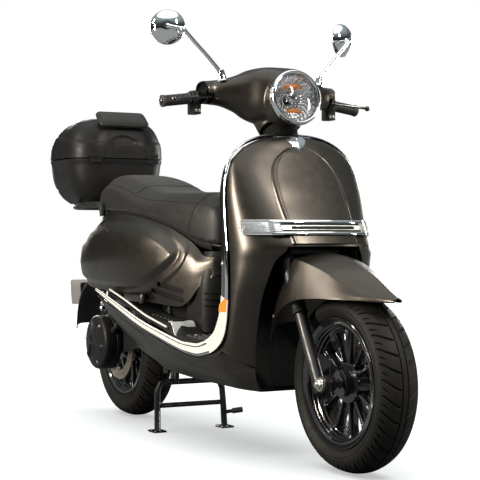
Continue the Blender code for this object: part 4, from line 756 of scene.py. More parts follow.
def bar_strip(name, low, high, first, last, out, thick, material, side=None, bulge=0.0, **rest):
    """A band along the indicator bar between two heights and two angles round the nose."""
    rows = []
    for k in range(7):
        z = low + (high - low) * k / 6
        swell = bulge * (1 - (2 * k / 6 - 1) ** 2)
        rows.append([shield_point(z, first + (last - first) * i / 60,
                                  bar_proud(first + (last - first) * i / 60)
                                  + out + swell) for i in range(61)])
    rows = both(rows) if side is None else [[mirrored(p, side) for p in row] for row in rows]
    return shell(name, rows, "chassis", material, thickness=thick, **rest)


def lens_half(share):
    """Half the lens's height, rounded off toward its ends as share falls from 1 to 0."""
    return (BAR_HIGH - BAR_LOW) / 2 * (0.45 + 0.55 * sqrt(max(1 - (1 - share) ** 2, 0)))


def indicator_bar():
    """Chrome rails above and below, clear indicators at the ends and a near-black strip in the middle as
    painted shade of a slot.
    """
    mid_z = (BAR_LOW + BAR_HIGH) / 2
    bar_strip("bar_backing", BAR_LOW + 0.002, BAR_HIGH - 0.002, 0, BAR_END * 0.985, -0.0035, 0.004, DARK,
              replaces="indicator_bar", slot="black_plastic")
    for label, low, high in (("upper", BAR_HIGH - 0.0075, BAR_HIGH), ("lower", BAR_LOW, BAR_LOW + 0.0065)):
        bar_strip("bar_rail_" + label, low, high, 0, radians(40), 0.0006, 0.004, CHROME, bulge=0.0012,
                  slot="chrome")
    bar_strip("bar_centre_band", mid_z - 0.007, mid_z + 0.0055, 0, radians(34), -0.0016, 0.003, SATIN_CHROME,
              slot="chrome")
    # Near-black strip over the centre band: painted shade standing in for the slot.
    bar_strip("bar_slot_shade", mid_z - 0.0045, mid_z + 0.0035, 0, radians(24), 0.001, 0.002, DARK, bulge=0.0004)
    for name, side in SIDES.items():
        first = LENS_START
        bar_strip("lens_reflector_" + name, BAR_LOW + 0.005, BAR_HIGH - 0.005, first + 0.02,
                  BAR_END - 0.03, -0.0008, 0.0012, REFLECTOR, side)
        rows = []
        for k in range(9):
            v = 2 * k / 8 - 1
            row = []
            for i in range(49):
                u = i / 48
                turn = first + (BAR_END - first) * u
                ends = min(u / 0.06, (1 - u) / 0.12, 1.0)
                half = lens_half(ends)
                swell = 0.0035 * (1 - v ** 4) * min(1, ends * 1.5)
                row.append(mirrored(shield_point(mid_z + half * v, turn, bar_proud(turn) + 0.0004 + swell),
                                    side))
            rows.append(row)
        shell("indicator_lens_" + name, rows, "chassis", FLUTED, thickness=0.0018, edge=0.0004,
              slot="clear_lens")
        border = []
        for i in range(37):
            turn = first + (BAR_END - first) * i / 36
            border.append((turn, lens_half(min((1 - i / 36) / 0.12, 1.0))))
        path = [mirrored(shield_point(mid_z + h, t, bar_proud(t) + 0.001), side) for t, h in border]
        path += [mirrored(shield_point(mid_z - h, t, bar_proud(t) + 0.001), side)
                 for t, h in reversed(border)]
        piece("indicator_frame_" + name, tube_mesh(path, 0.0017, 10), "chassis", CHROME, slot="chrome")
        leds = []
        for k in range(7):
            turn = first + (BAR_END - first) * (0.14 + 0.12 * k)
            base, bulb, ahead = (mirrored(shield_point(mid_z, turn, out), side)
                                 for out in (0.0, 0.0065, 0.02))
            leds.append(turned_mesh(LED, bulb, ahead - base, 20, closed=False))
        piece("indicator_leds_" + name, merged(*leds), "chassis", REFLECTOR, slot="chrome")


indicator_bar()


def crest():
    """A plain chrome arrowhead on the neck, above the nose panel."""
    rows = []
    for z, half, lift in ((0.896, 0.024, 0.0006), (0.889, 0.03, 0.0022), (0.878, 0.023, 0.0042),
                          (0.867, 0.013, 0.0054), (0.856, 0.003, 0.005)):
        row = []
        for k in range(9):
            y = half * k / 8
            ridge = lift + 0.0035 * (1 - k / 8)
            row.append(vec(shield_x(min(z, 0.8935), min(y, 0.058)) + ridge - 0.001, y, z))
        rows.append(row)
    shell("neck_crest", both(refine(rows, 5, 1)), "chassis", CHROME, thickness=0.003, slot="chrome", angle=25)
    rows = [[vec(lerp(CENTRE_X, z) - 0.5 * y * y / 0.12 + out, y, z) for y in
             (0.0, 0.01, 0.02, 0.03, 0.04, 0.05, 0.058)]
            for z, out in ((0.9, -0.004), (0.8985, 0.0015), (0.8945, 0.0018))]
    shell("neck_lip", both(rows), "chassis", CHROME, thickness=0.0025, slot="chrome", edge=0.0005)


crest()

# Front mudguard: stations from the tip to the rear, each (ridge), (crease), (lip) as x, y, z.
FORK_TRAVEL = 0.055
MUDGUARD = [
    ((0.893, 0, 0.463), (0.892, 0.007, 0.461), (0.889, 0.012, 0.456)),
    ((0.862, 0, 0.478), (0.853, 0.024, 0.464), (0.849, 0.028, 0.455)),
    ((0.805, 0, 0.508), (0.8, 0.05, 0.471), (0.797, 0.057, 0.457)),
    ((0.74, 0, 0.536), (0.735, 0.067, 0.5), (0.738, 0.088, 0.458)),
    ((0.67, 0, 0.557), (0.66, 0.078, 0.528), (0.664, 0.108, 0.458)),
    ((0.6, 0, 0.571), (0.59, 0.089, 0.549), (0.594, 0.12, 0.452)),
    ((0.54, 0, 0.574), (0.53, 0.092, 0.557), (0.535, 0.123, 0.432)),
    ((0.49, 0, 0.56), (0.488, 0.091, 0.545), (0.482, 0.118, 0.4)),
    ((0.455, 0, 0.52), (0.455, 0.089, 0.505), (0.44, 0.106, 0.362)),
    ((0.428, 0, 0.455), (0.431, 0.084, 0.44), (0.42, 0.092, 0.33)),
    ((0.408, 0, 0.385), (0.412, 0.074, 0.375), (0.407, 0.08, 0.312)),
]


def clear_of_tyre(point, gap=0.0046):
    """The point moved off the tyre at the top of the fork's travel, by the skin and a little air."""
    risen = FRONT_AXLE + (steer(1) - steer(0)) * FORK_TRAVEL
    flat = vec(point.x - risen.x, 0, point.z - risen.z)
    here = vec(flat.length, abs(point.y))
    outline = [Vector(p) for p in TREAD[1:]]
    nearest, apart = None, 1.0
    for a, b in zip(outline, outline[1:]):
        along = max(0.0, min(1.0, (here - a).dot(b - a) / (b - a).length_squared))
        spot = a.lerp(b, along)
        if (here - spot).length < apart:
            nearest, apart = spot, (here - spot).length
            within = (b - a).x * (here - a).y - (b - a).y * (here - a).x < 0
    if apart >= gap and not within:
        return point
    out = (here - nearest).normalized() * (-1 if within else 1)
    there = nearest + out * gap
    side = 1 if point.y >= 0 else -1
    across = 0.0 if point.y == 0 else there.y * side
    return vec(risen.x, across, risen.z) + flat.normalized() * there.x


def mudguard_rows():
    """Half the mudguard's skin, with its lip turned in, kept clear of the tyre."""
    rows = []
    for ridge, crease, lip in MUDGUARD:
        ridge, crease, lip = Vector(ridge), Vector(crease), Vector(lip)
        crown = ridge.lerp(crease, 0.5) + vec(0, 0, (ridge.z - crease.z) * 0.12)
        flank = crease.lerp(lip, 0.5) + vec(0, 0.001, 0)
        rows.append([ridge, crown, crease, flank, lip])
    fine = refine(rows, 8, 8, (), (2,))
    for row in fine:
        lip = row[-1]
        turn_in = vec(0, -min(0.006, lip.y * 0.3), -0.0005)
        row.append(lip + turn_in * 0.35 + vec(0, 0, -0.0012))
        row.append(lip + turn_in)
    return [[clear_of_tyre(p) for p in row] for row in fine]


def front_mudguard():
    """The mudguard, cut round the fork's legs, and its side bolts."""
    guard = shell("front_mudguard_skin", both(mudguard_rows()), "steering", PAINT, thickness=0.0034, angle=28,
                  slot="body_paint", replaces="front_mudguard", edge=0)
    baked(guard)
    holes = [tube_mesh([steer(-0.64, 0.01, 0.09 * side), steer(-0.44, 0.01, 0.09 * side)], 0.0212, 32)
             for side in SIDES.values()]
    guard.data = carved(guard.data, *holes)
    guard.data.set_sharp_from_angle(angle=radians(28))
    for name, side in SIDES.items():
        spot = vec(0.47, 0.1135 * side, 0.402)
        piece("mudguard_bolt_" + name, bolt_mesh(spot, (-0.2, side, 0.1), 0.005, 0.004), "steering", BOLT, 35)


front_mudguard()


# ---- edge trim ----
# Stations from the tail forward and up to the neck: outer edge, then inner edge of the strip, as x, y, z.
TRIM = [
    ((-0.57, 0.199, 0.44), (-0.572, 0.1975, 0.447)), ((-0.498, 0.207, 0.424), (-0.496, 0.204, 0.434)),
    ((-0.335, 0.215, 0.382), (-0.333, 0.211, 0.398)), ((-0.182, 0.218, 0.343), (-0.178, 0.213, 0.361)),
    ((-0.038, 0.219, 0.315), (-0.034, 0.214, 0.336)), ((0.098, 0.2195, 0.291), (0.098, 0.2145, 0.316)),
    ((0.165, 0.2195, 0.284), (0.16, 0.2145, 0.314)), ((0.226, 0.2195, 0.2825), (0.21, 0.2145, 0.315)),
    ((0.3, 0.2195, 0.295), (0.266, 0.2145, 0.329)), ((0.35, 0.2195, 0.318), (0.308, 0.2145, 0.352)),
    ((0.381, 0.2195, 0.349), (0.332, 0.2145, 0.383)), ((0.396, 0.2195, 0.391), (0.347, 0.2145, 0.415)),
    ((0.403, 0.2195, 0.446), (0.355, 0.2145, 0.456)), ((0.404, 0.2195, 0.5), (0.357, 0.2145, 0.505)),
    ((0.401, 0.2195, 0.58), (0.356, 0.2145, 0.583)), ((0.391, 0.219, 0.65), (0.349, 0.214, 0.653)),
    ((0.383, 0.218, 0.72), (0.342, 0.213, 0.723)), ((0.377, 0.213, 0.768), (0.34, 0.208, 0.766)),
    ((0.373, 0.204, 0.81), (0.339, 0.199, 0.805)), ((0.369, 0.186, 0.845), (0.339, 0.181, 0.84)),
    ((0.366, 0.153, 0.874), (0.339, 0.149, 0.869)), ((0.363, 0.11, 0.8935), (0.34, 0.107, 0.888)),
    ((0.361, 0.06, 0.903), (0.341, 0.059, 0.898)), ((0.361, 0.0, 0.907), (0.341, 0.0, 0.902)),
]


def trim_rows(first, last, low, high, lift, crown, per=6):
    """Part of the strip: from one share of its width to another, lifted off it and crowned."""
    rows = []
    for outer, inner in TRIM[first:last]:
        outer, inner = Vector(outer), Vector(inner)
        across = inner - outer
        share = outer.y / 0.19
        normal = vec(0, 1, 0) if share > 1 else vec(0.25, share, 1.2 - share).normalized()
        row = []
        for k in range(9):
            u = low + (high - low) * k / 8
            bow = crown * (1 - (2 * k / 8 - 1) ** 2)
            row.append(outer + across * u + normal * (lift + bow))
        rows.append(row)
    return refine(rows, per, 1)


def shield_trim():
    """The strip round the body's edge: two beads by the floor, a bright and a dark band up the shield."""
    last = len(TRIM)
    for name, side in SIDES.items():
        def placed(rows):
            return [[mirrored(p, side) for p in row] for row in rows]

        low_strip = trim_rows(0, 13, 0.0, 1.0, 0.0, 0.0018)
        shell("trim_floor_" + name, placed(low_strip), "chassis", SATIN_CHROME, thickness=0.003,
              slot="chrome", edge=0.0006)
        for label, a, b in (("outer", -0.02, 0.16), ("inner", 0.62, 0.8)):
            shell(f"trim_bead_{label}_{name}", placed(trim_rows(0, 9, a, b, 0.0008, 0.0016)),
                  "chassis", CHROME, thickness=0.002, slot="chrome", edge=0.0004)
        front = trim_rows(12, last, 0.0, 0.42, 0.0004, 0.0032)
        shell("trim_bright_" + name, placed(front), "chassis", CHROME, thickness=0.003, slot="chrome",
              edge=0.0006)
        back = trim_rows(12, last, 0.42, 1.0, -0.0012, 0.0012)
        shell("trim_channel_" + name, placed(back), "chassis", GLASS_BLACK, thickness=0.003, slot="chrome",
              edge=0.0006)
        corner = []
        for outer, inner in TRIM[4:14]:
            outer, inner = Vector(outer), Vector(inner)
            away = (outer - inner).normalized()
            corner.append([vec(p.x, 0.2098, p.z) for p in (
                inner.lerp(outer, 0.35), outer, outer + away * 0.008, outer + away * 0.016)])
        shell("trim_seat_" + name, placed(refine(corner, 6, 1)), "chassis", PAINT, thickness=0.0016,
              edge=0.0003)
    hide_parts("shield_trim")
    for name, side in SIDES.items():
        rows = []
        for k in range(9):
            z = 0.4125 + 0.0455 * k / 8
            front = lerp([(0.391, 0.3925), (0.446, 0.399), (0.5, 0.4)], z)
            back = lerp([(0.383, 0.338), (0.415, 0.352), (0.46, 0.36)], z)
            back += (front - 0.006 - back) * smoothstep(0.428, 0.458, z)
            bow = [0.2207 + 0.0014 * (1 - (2 * j / 6 - 1) ** 2) for j in range(7)]
            rows.append([vec(back + (front - back) * j / 6, bow[j] * side, z) for j in range(7)])
        shell("side_reflector_" + name, rows, "chassis", AMBER, thickness=0.0022, edge=0.0005)


shield_trim()

# ---- belly, floor and inner shield ----
# Belly stations, front to back: upper edge, crease and lower edge of the side skirt, as x, y, z.
BELLY = [
    ((0.357, 0.21, 0.2975), (0.4285, 0.148, 0.258), (0.412, 0.122, 0.193)),
    ((0.3, 0.211, 0.283), (0.36, 0.18, 0.236), (0.35, 0.148, 0.196)),
    ((0.215, 0.211, 0.275), (0.27, 0.186, 0.235), (0.26, 0.15, 0.198)),
    ((0.098, 0.211, 0.282), (0.13, 0.19, 0.248), (0.13, 0.15, 0.2)),
    ((-0.038, 0.211, 0.305), (-0.02, 0.192, 0.272), (-0.02, 0.15, 0.206)),
    ((-0.14, 0.211, 0.327), (-0.13, 0.193, 0.299), (-0.13, 0.15, 0.215)),
    ((-0.182, 0.2105, 0.336), (-0.19, 0.194, 0.312), (-0.19, 0.15, 0.23)),
    ((-0.335, 0.208, 0.374), (-0.35, 0.196, 0.354), (-0.348, 0.157, 0.276)),
    ((-0.48, 0.201, 0.404), (-0.48, 0.191, 0.39), (-0.46, 0.168, 0.335)),
    ((-0.572, 0.191, 0.424), (-0.562, 0.182, 0.415), (-0.552, 0.176, 0.4)),
]
PAN_STATIONS = 5


def belly():
    """The painted pan under the floor and its side skirts, with a seam each side and a near-black bar where
    each slot is, as painted shade.
    """
    rows = []
    for upper, crease, lower in BELLY:
        upper, crease, lower = Vector(upper), Vector(crease), Vector(lower)
        rows.append([
            vec(lower.x, 0, lower.z), vec(lower.x, lower.y * 0.7, lower.z), lower,
            crease.lerp(lower, 0.5) + vec(0, 0.006, 0), crease,
            upper.lerp(crease, 0.5) + vec(0, 0.002, 0), upper,
        ])
    per = 8
    fine = refine(rows, per, 6, (), (2, 4))
    centre = len(both(fine)[0]) // 2
    shell("belly_skin", both(fine), "chassis", PAINT, slot="body_paint", replaces="belly_fairing", angle=24,
          skip=lambda i, j: i >= per * (PAN_STATIONS - 1) and abs(j + 0.5 - centre) < 12)
    for name, side in SIDES.items():
        # Near-black bar laid on the skirt for a slot: painted shade standing in for the opening.
        slot = [mirrored((0.331, 0.193, 0.264), side), mirrored((0.306, 0.1965, 0.252), side)]
        piece("belly_slot_shade_" + name, tube_mesh(slot, 0.0046, 16, flat=0.6), "chassis", DARK, 40)
        seam = spline([mirrored(p, side) for p in ((0.3, 0.201, 0.256), (0.345, 0.186, 0.243),
                                                   (0.4, 0.164, 0.247), (0.427, 0.1495, 0.259))], 8)
        piece("belly_seam_" + name, tube_mesh(seam, 0.0012, 8), "chassis", DARK)


belly()

# Floorboard stations, front to back: x, height of the floor, height of its outer edge, inner y.
FLOOR = [(0.318, 0.322, 0.318, 0), (0.215, 0.318, 0.308, 0), (0.098, 0.32, 0.314, 0), (0.04, 0.326, 0.32, 0),
         (0.0, 0.358, 0.33, 0.12), (-0.1, 0.366, 0.352, 0.12), (-0.182, 0.372, 0.368, 0.125),
         (-0.335, 0.408, 0.406, 0.14), (-0.48, 0.434, 0.436, 0.16)]


def floorboard():
    """The floor with its ribs, and the raised ledges behind it with pads, riser and bead."""
    rows = []
    for x, z, edge_z, inner in FLOOR:
        outer = 0.203 if x > -0.3 else 0.203 - (-0.3 - x) * 0.06
        reach = max(inner, 0.11)
        spread = [0.0, 0.11] + [reach + (outer - reach) * k / 3 for k in range(1, 4)]
        rows.append([vec(x, y, z if k < 4 else edge_z) for k, y in enumerate(spread)])
    per, across = 8, 8
    fine = refine(rows, per, across, (3, 4), (1,))
    centre = len(both(fine)[0]) // 2
    shell("floor_pan", both(fine), "chassis", PANEL_BLACK, thickness=0.006, slot="rubber",
          replaces="floorboard", skip=lambda i, j: i >= per * 3 and abs(j + 0.5 - centre) < across,
          edge=0.001)
    ribs = []
    heights = sorted((station[0], station[1]) for station in FLOOR)
    start, end, spacing = 0.298, 0.06, 0.0245
    for k in range(-7, 8):
        y = k * spacing
        line = [vec(x, y, lerp(heights, x) + 0.0036)
                for x in (start - i * (start - end) / 20 for i in range(21))]
        ribs.append(tube_mesh(line, 0.0046, 10, flat=0.45))
    piece("floor_ribs", merged(*ribs), "chassis", MAT, 50, "rubber")
    for name, side in SIDES.items():
        ledge = []
        for k in range(6):
            x0 = -0.01 - k * 0.026
            z0 = 0.364 + k * 0.0022
            ledge.append(block_mesh((x0 - 0.008, 0.15 * side, z0), (x0 + 0.008, 0.19 * side, z0 + 0.006)))
        rounded(piece("ledge_pads_" + name, merged(*ledge), "chassis", MAT, 40, "rubber"), 0.002, 3)
        riser = [[mirrored((x, y, z), side) for y in (0.122, 0.14, 0.16, 0.18, 0.199)]
                 for x, z in ((0.035, 0.326), (0.026, 0.332), (0.014, 0.35), (0.002, 0.3625),
                              (-0.014, 0.3655))]
        shell("ledge_riser_" + name, refine(riser, 6, 4), "chassis", SATIN_CHROME, thickness=0.002,
              edge=0.0005)
        path = spline([mirrored(p, side) for p in ((-0.012, 0.204, 0.348), (-0.1, 0.2035, 0.364),
                                                   (-0.182, 0.203, 0.38), (-0.335, 0.199, 0.418),
                                                   (-0.47, 0.192, 0.446))], 8)
        piece("ledge_bead_" + name, tube_mesh(path, 0.0032, 12), "chassis", SATIN_CHROME, slot="chrome")


floorboard()

# ---- side cowls ----
# x, y and z of the top edge, greatest y and its z, y and z of the bottom edge.
COWL = [
    (0.0755, 0.056, 0.554, 0.0605, 0.532, 0.0655, 0.508), (0.0665, 0.0745, 0.555, 0.0805, 0.53, 0.086, 0.5),
    (0.054, 0.087, 0.556, 0.0935, 0.528, 0.0985, 0.492), (0.02, 0.1, 0.562, 0.118, 0.516, 0.1165, 0.466),
    (-0.01, 0.108, 0.588, 0.134, 0.521, 0.129, 0.43), (-0.05, 0.118, 0.611, 0.15, 0.53, 0.142, 0.408),
    (-0.12, 0.128, 0.64, 0.176, 0.55, 0.158, 0.41), (-0.2, 0.14, 0.66, 0.196, 0.562, 0.168, 0.415),
    (-0.3, 0.148, 0.677, 0.207, 0.564, 0.174, 0.424), (-0.4, 0.15, 0.688, 0.21, 0.56, 0.176, 0.432),
    (-0.5, 0.147, 0.694, 0.208, 0.553, 0.178, 0.44), (-0.6, 0.14, 0.695, 0.202, 0.548, 0.176, 0.444),
    (-0.69, 0.127, 0.684, 0.187, 0.545, 0.168, 0.45), (-0.76, 0.11, 0.664, 0.166, 0.545, 0.15, 0.46),
    (-0.82, 0.09, 0.634, 0.132, 0.545, 0.12, 0.476),
]
# Border of the raised dome on each cowl, as x, z.
DOME = [(-0.8, 0.52), (-0.78, 0.585), (-0.72, 0.64), (-0.6, 0.668), (-0.45, 0.678), (-0.3, 0.666),
        (-0.19, 0.64), (-0.105, 0.602), (-0.06, 0.57), (-0.075, 0.54), (-0.13, 0.505), (-0.2, 0.478),
        (-0.3, 0.461), (-0.42, 0.458), (-0.56, 0.464), (-0.7, 0.472), (-0.775, 0.488)]
DOME_RISE, BAND_RISE, BAND_WIDTH = 0.0105, 0.004, 0.034
# Vent slots in each cowl: ends as x, z.
VENTS = [((-0.128, 0.473), (-0.036, 0.454)), ((-0.165, 0.452), (-0.04, 0.427))]
VENT_HALF = 0.0078


def closed_outline(points, per=6):
    """A smooth closed outline through (x, z) points."""
    ring = [vec(x, 0, z) for x, z in points]
    path = spline(ring[-2:] + ring + ring[:2], per)[2 * per:-2 * per]
    return [(p.x, p.z) for p in path]


def cowl_rows():
    """The left cowl's surface, with its raised dome, the groove round that and a band outside it."""
    rows = []
    for x, top_y, top_z, wide_y, wide_z, low_y, low_z in COWL:
        rows.append([Vector(p) for p in (
            (x, top_y, top_z), (x, wide_y - (wide_y - top_y) * 0.25, wide_z + (top_z - wide_z) * 0.55),
            (x, wide_y, wide_z), (x, wide_y - (wide_y - low_y) * 0.2, wide_z + (low_z - wide_z) * 0.5),
            (x, low_y, low_z))])
    fine = refine(rows, 16, 30)
    outline = closed_outline(DOME)
    for row in fine:
        for p in row:
            depth = inside(outline, p.x, p.z)
            band = smoothstep(-BAND_WIDTH - 0.004, -BAND_WIDTH + 0.004, depth) * smoothstep(-0.62, -0.3, p.x)
            groove = exp(-((depth + 0.009) / 0.007) ** 2)
            p.y += DOME_RISE * smoothstep(-0.006, 0.016, depth) + BAND_RISE * band - 0.0022 * groove - 0.0015
    return fine


def side_cowls():
    """Both cowls, cut through by their vents, with a near-black sheet behind the slots as painted shade
    inside them.
    """
    rows = cowl_rows()
    skin = clean(mesh_from(*grid(rows)))
    obj = added("cowl", skin)
    wall = obj.modifiers.new("wall", "SOLIDIFY")
    wall.thickness = 0.0034
    wall.offset = 0
    solid = baked(obj).data
    bpy.data.objects.remove(obj)
    cutters = []
    for (x0, z0), (x1, z1) in VENTS:
        along = vec(x1 - x0, 0, z1 - z0).normalized()
        up = vec(-along.z, 0, along.x) * VENT_HALF
        ring = []
        for centre, start in ((vec(x0, 0, z0), 90), (vec(x1, 0, z1), -90)):
            for k in range(7):
                a = radians(start + 180 * k / 6)
                ring.append(centre + along * cos(a) * VENT_HALF + up * sin(a))
        cutters.append(loft_mesh([[p + vec(0, y, 0) for p in ring] for y in (0.1, 0.24)]))
    solid = carved(solid, *cutters)
    for name, side in SIDES.items():
        mesh = solid.copy() if side > 0 else flipped(solid)
        obj = piece("cowl_skin_" + name, mesh, "chassis", PAINT, 26, "body_paint", "side_cowl_" + name)
        # A near-black sheet just inside the vents: painted shade for the cowl's inside.
        behind_vents = [[mirrored(p - vec(0, 0.009, 0), side) for p in row[75:116:4]]
                        for row in rows[66:130:4]]
        shell("vent_shade_sheet_" + name, behind_vents, "chassis", DARK, thickness=0.002, edge=0)


side_cowls()


# ---- front of the body under the seat, tail, plate and rear mudguard ----
def battery_cover():
    """The rounded cover under the seat's front, with three near-black bars each side where the louvres are,
    as painted shade.
    """
    rows = []
    back = 0.0245
    for z, reach, half in ((0.574, 0.066, 0.084), (0.54, 0.074, 0.098), (0.49, 0.078, 0.11),
                           (0.44, 0.076, 0.112), (0.38, 0.07, 0.11), (0.333, 0.066, 0.104)):
        rows.append([vec(back + (reach - back) * cos(pi / 2 * k / 24) ** 0.8,
                         half * sin(pi / 2 * k / 24) ** 0.8, z) for k in range(25)]
                    + [vec(back - 0.03, half + 0.001, z), vec(back - 0.07, half + 0.008, z)])
    shell("battery_cover_skin", both(refine(rows, 8, 1)), "chassis", PANEL_BLACK, slot="body_paint",
          replaces="battery_cover", angle=24)
    # Near-black bars laid on the cover for the louvre slots: painted shade standing in for the openings.
    for name, side in SIDES.items():
        for k, z in enumerate((0.414, 0.432, 0.45)):
            line = [mirrored((0.025 + (0.0775 - 0.025) * cos(radians(a)) ** 0.8 + 0.0018,
                              0.112 * sin(radians(a)) ** 0.8 + 0.0015, z), side) for a in range(20, 76, 4)]
            piece(f"cover_louvre_shade_{k}_{name}", tube_mesh(line, 0.0032, 10, flat=0.7), "chassis", DARK, 50)


battery_cover()


def tail():
    """The tail panel with its lamp, and the two rear indicators."""
    rows = []
    front = -0.824
    for z, half, back in ((0.632, 0.088, -0.842), (0.595, 0.11, -0.864), (0.56, 0.125, -0.872),
                          (0.53, 0.126, -0.868)):
        turns = [pi / 2 * k / 18 for k in range(19)]
        rows.append([vec(front + (back - front) * cos(t), half * sin(t), z) for t in turns])
    shell("tail_skin", both(refine(rows, 10, 1)), "chassis", PAINT, slot="body_paint", replaces="tail_panel")
    half_rows = []
    for k in range(13):
        v = 2 * k / 12 - 1
        z = 0.585 + 0.024 * v
        line = []
        for i in range(25):
            u = i / 24
            y = 0.078 * u * (1 - 0.1 * v * v)
            swell = 0.009 * (1 - v ** 4) * (1 - u ** 6) + 0.0015
            back = lerp([(0.53, -0.868), (0.56, -0.872), (0.595, -0.864), (0.632, -0.842)], z)
            wide = lerp([(0.53, 0.126), (0.595, 0.11), (0.632, 0.088)], z)
            base = front + (back - front) * sqrt(max(1 - (y / wide) ** 2, 0))
            line.append(vec(base - swell, y, z))
        half_rows.append(line)
    lens = both(half_rows)
    shell("tail_lamp_lens", lens, "chassis", RED, thickness=0.002, edge=0.0005, angle=40)
    border = lens[0] + [row[-1] for row in lens] + lens[-1][::-1] + [row[0] for row in reversed(lens)]
    piece("tail_lamp_rim", tube_mesh([p + vec(0.0015, 0, 0) for p in border], 0.0022, 8), "chassis", CHROME,
          slot="chrome")
    for name, side in SIDES.items():
        at = mirrored((-0.88, 0.094, 0.552), side)
        away = vec(-0.8, 0.6 * side, 0)
        lamp = turned_mesh(curve_of([(0.015, -0.004), (0.016, 0.004), (0.013, 0.011), (0.0, 0.0135)], 5), at,
                           away, 32, closed=False)
        piece("rear_indicator_" + name, lamp, "chassis", AMBER)
        ring = turned_mesh([(0.015, -0.006), (0.018, -0.004), (0.0178, 0.003), (0.016, 0.004)], at, away, 32)
        piece("rear_indicator_rim_" + name, ring, "chassis", CHROME, slot="chrome")


tail()


def rear_guard():
    """The rear mudguard, the blank plate on its holder, its lamp and the reflector."""
    line = [(-0.79, 0.516), (-0.87, 0.504), (-0.955, 0.474), (-1.025, 0.428), (-1.062, 0.37), (-1.075, 0.3)]
    rows = [[vec(x, 0, z), vec(x, 0.04, z), vec(x + 0.004, 0.062, z - 0.006),
             vec(x + 0.016, 0.07, z - 0.02)] for x, z in line]
    shell("rear_mudguard_skin", both(refine(rows, 10, 6)), "chassis", PANEL_BLACK, slot="black_plastic",
          replaces="rear_mudguard")
    tilt = vec(-0.15, 0, 1).normalized()
    back = vec(-1.0, 0, -0.15).normalized()
    middle = vec(-1.079, 0, 0.416)

    def plate_ring(half_w, half_h, corner, out):
        ring = []
        for cy, cz, start in ((half_w - corner, half_h - corner, 0), (-half_w + corner, half_h - corner, 90),
                              (-half_w + corner, -half_h + corner, 180),
                              (half_w - corner, -half_h + corner, 270)):
            for k in range(7):
                a = radians(start + 15 * k)
                ring.append(middle + back * out + vec(0, cy + corner * cos(a), 0)
                            + tilt * (cz + corner * sin(a)))
        return ring

    holder = loft_mesh([plate_ring(0.046, 0.034, 0.01, o) for o in (0.0, 0.0035)])
    rounded(piece("plate_holder", holder, "chassis", PANEL_BLACK), 0.0008)
    sheet_mesh = loft_mesh([plate_ring(0.084, 0.046, 0.008, 0.0036), plate_ring(0.084, 0.046, 0.008, 0.0052)])
    rounded(piece("blank_plate", sheet_mesh, "chassis", PLATE), 0.0003)
    bolts = [bolt_mesh(middle + back * 0.0052 + vec(0, 0.06 * s, 0) + tilt * 0.03, back, 0.0042, 0.003)
             for s in (-1, 1)]
    piece("plate_bolts", merged(*bolts), "chassis", BOLT, 35)
    lamp = tube_mesh([middle + tilt * 0.058 + vec(0.004, -0.025, 0),
                      middle + tilt * 0.058 + vec(0.004, 0.025, 0)],
                     0.008, 20)
    rounded(piece("plate_lamp", lamp, "chassis", PANEL_BLACK, 35), 0.001)
    reflex = turned_mesh([(0, 0.003), (0.02, 0.003), (0.022, 0.0015), (0.022, -0.002), (0, -0.002)],
                         vec(-1.0775, 0, 0.326), (-1, 0, -0.1), 40, closed=False)
    piece("rear_reflector", reflex, "chassis", RED, 40)


rear_guard()


# ---- top case ----
CASE_BASE = [(-0.83, -1.06, 0.118, 0.07, 0.7385), (-0.808, -1.09, 0.145, 0.085, 0.765),
             (-0.793, -1.113, 0.168, 0.095, 0.815), (-0.785, -1.1205, 0.18, 0.1, 0.8935)]
CASE_LID = [(-0.785, -1.1205, 0.18, 0.1, 0.8975), (-0.787, -1.108, 0.176, 0.1, 0.95),
            (-0.799, -1.072, 0.158, 0.1, 1.0), (-0.825, -1.03, 0.128, 0.09, 1.029),
            (-0.865, -0.985, 0.078, 0.058, 1.041)]


def case_ring(x0, x1, half, corner, z, per_corner=12, per_side=12):
    """A rounded rectangle in plan with points along its sides too."""
    ring = []
    corners = ((x0 - corner, half - corner, 0), (x1 + corner, half - corner, 90),
               (x1 + corner, -half + corner, 180), (x0 - corner, -half + corner, 270))
    for n, (cx, cy, start) in enumerate(corners):
        for k in range(per_corner + 1):
            a = radians(start + 90 * k / per_corner)
            ring.append(vec(cx + corner * cos(a), cy + corner * sin(a), z))
        nx, ny, nstart = corners[(n + 1) % 4]
        first = ring[-1]
        last = vec(nx + corner * cos(radians(nstart)), ny + corner * sin(radians(nstart)), z)
        ring += [first.lerp(last, k / per_side) for k in range(1, per_side)]
    return ring


def case_levels(table, per):
    """Plan sizes between a table's levels, smoothly."""
    size = [vec(x0, x1, half) for x0, x1, half, _, _ in table]
    rest = [vec(corner, z, 0) for *_, corner, z in table]
    return [(a.x, a.y, a.z, b.x, b.y) for a, b in zip(spline(size, per), spline(rest, per))]


def press(ring, shape):
    """Pushes a ring's points outward by what shape(point) says."""
    middle = sum(ring, Vector()) / len(ring)
    return [p + vec(p.x - middle.x, p.y - middle.y, 0).normalized() * shape(p) for p in ring]


def lid_relief(p):
    """A shallow arch pressed into the lid's front, and a waist line round it."""
    arch = 0.0
    if p.x > -0.83 and abs(p.y) < 0.08:
        reach = 0.062 - max(0, (p.z - 0.93) / 0.035) ** 2 * 0.03
        arch = -0.0055 * smoothstep(0.006, -0.006, abs(p.y) - reach) * smoothstep(0.985, 0.965, p.z)
    waist = 0.0022 * smoothstep(0.955, 0.947, p.z + 0.12 * (p.x + 0.785))
    return arch + waist


def base_relief(p):
    """A band round the tub's rim, and a shallow panel pressed into each side."""
    rib = 0.002 * smoothstep(0.878, 0.884, p.z)
    panel = -0.0022 * smoothstep(0.78, 0.79, p.z) * smoothstep(0.872, 0.862, p.z) * (abs(p.x + 0.95) < 0.1)
    return rib + panel


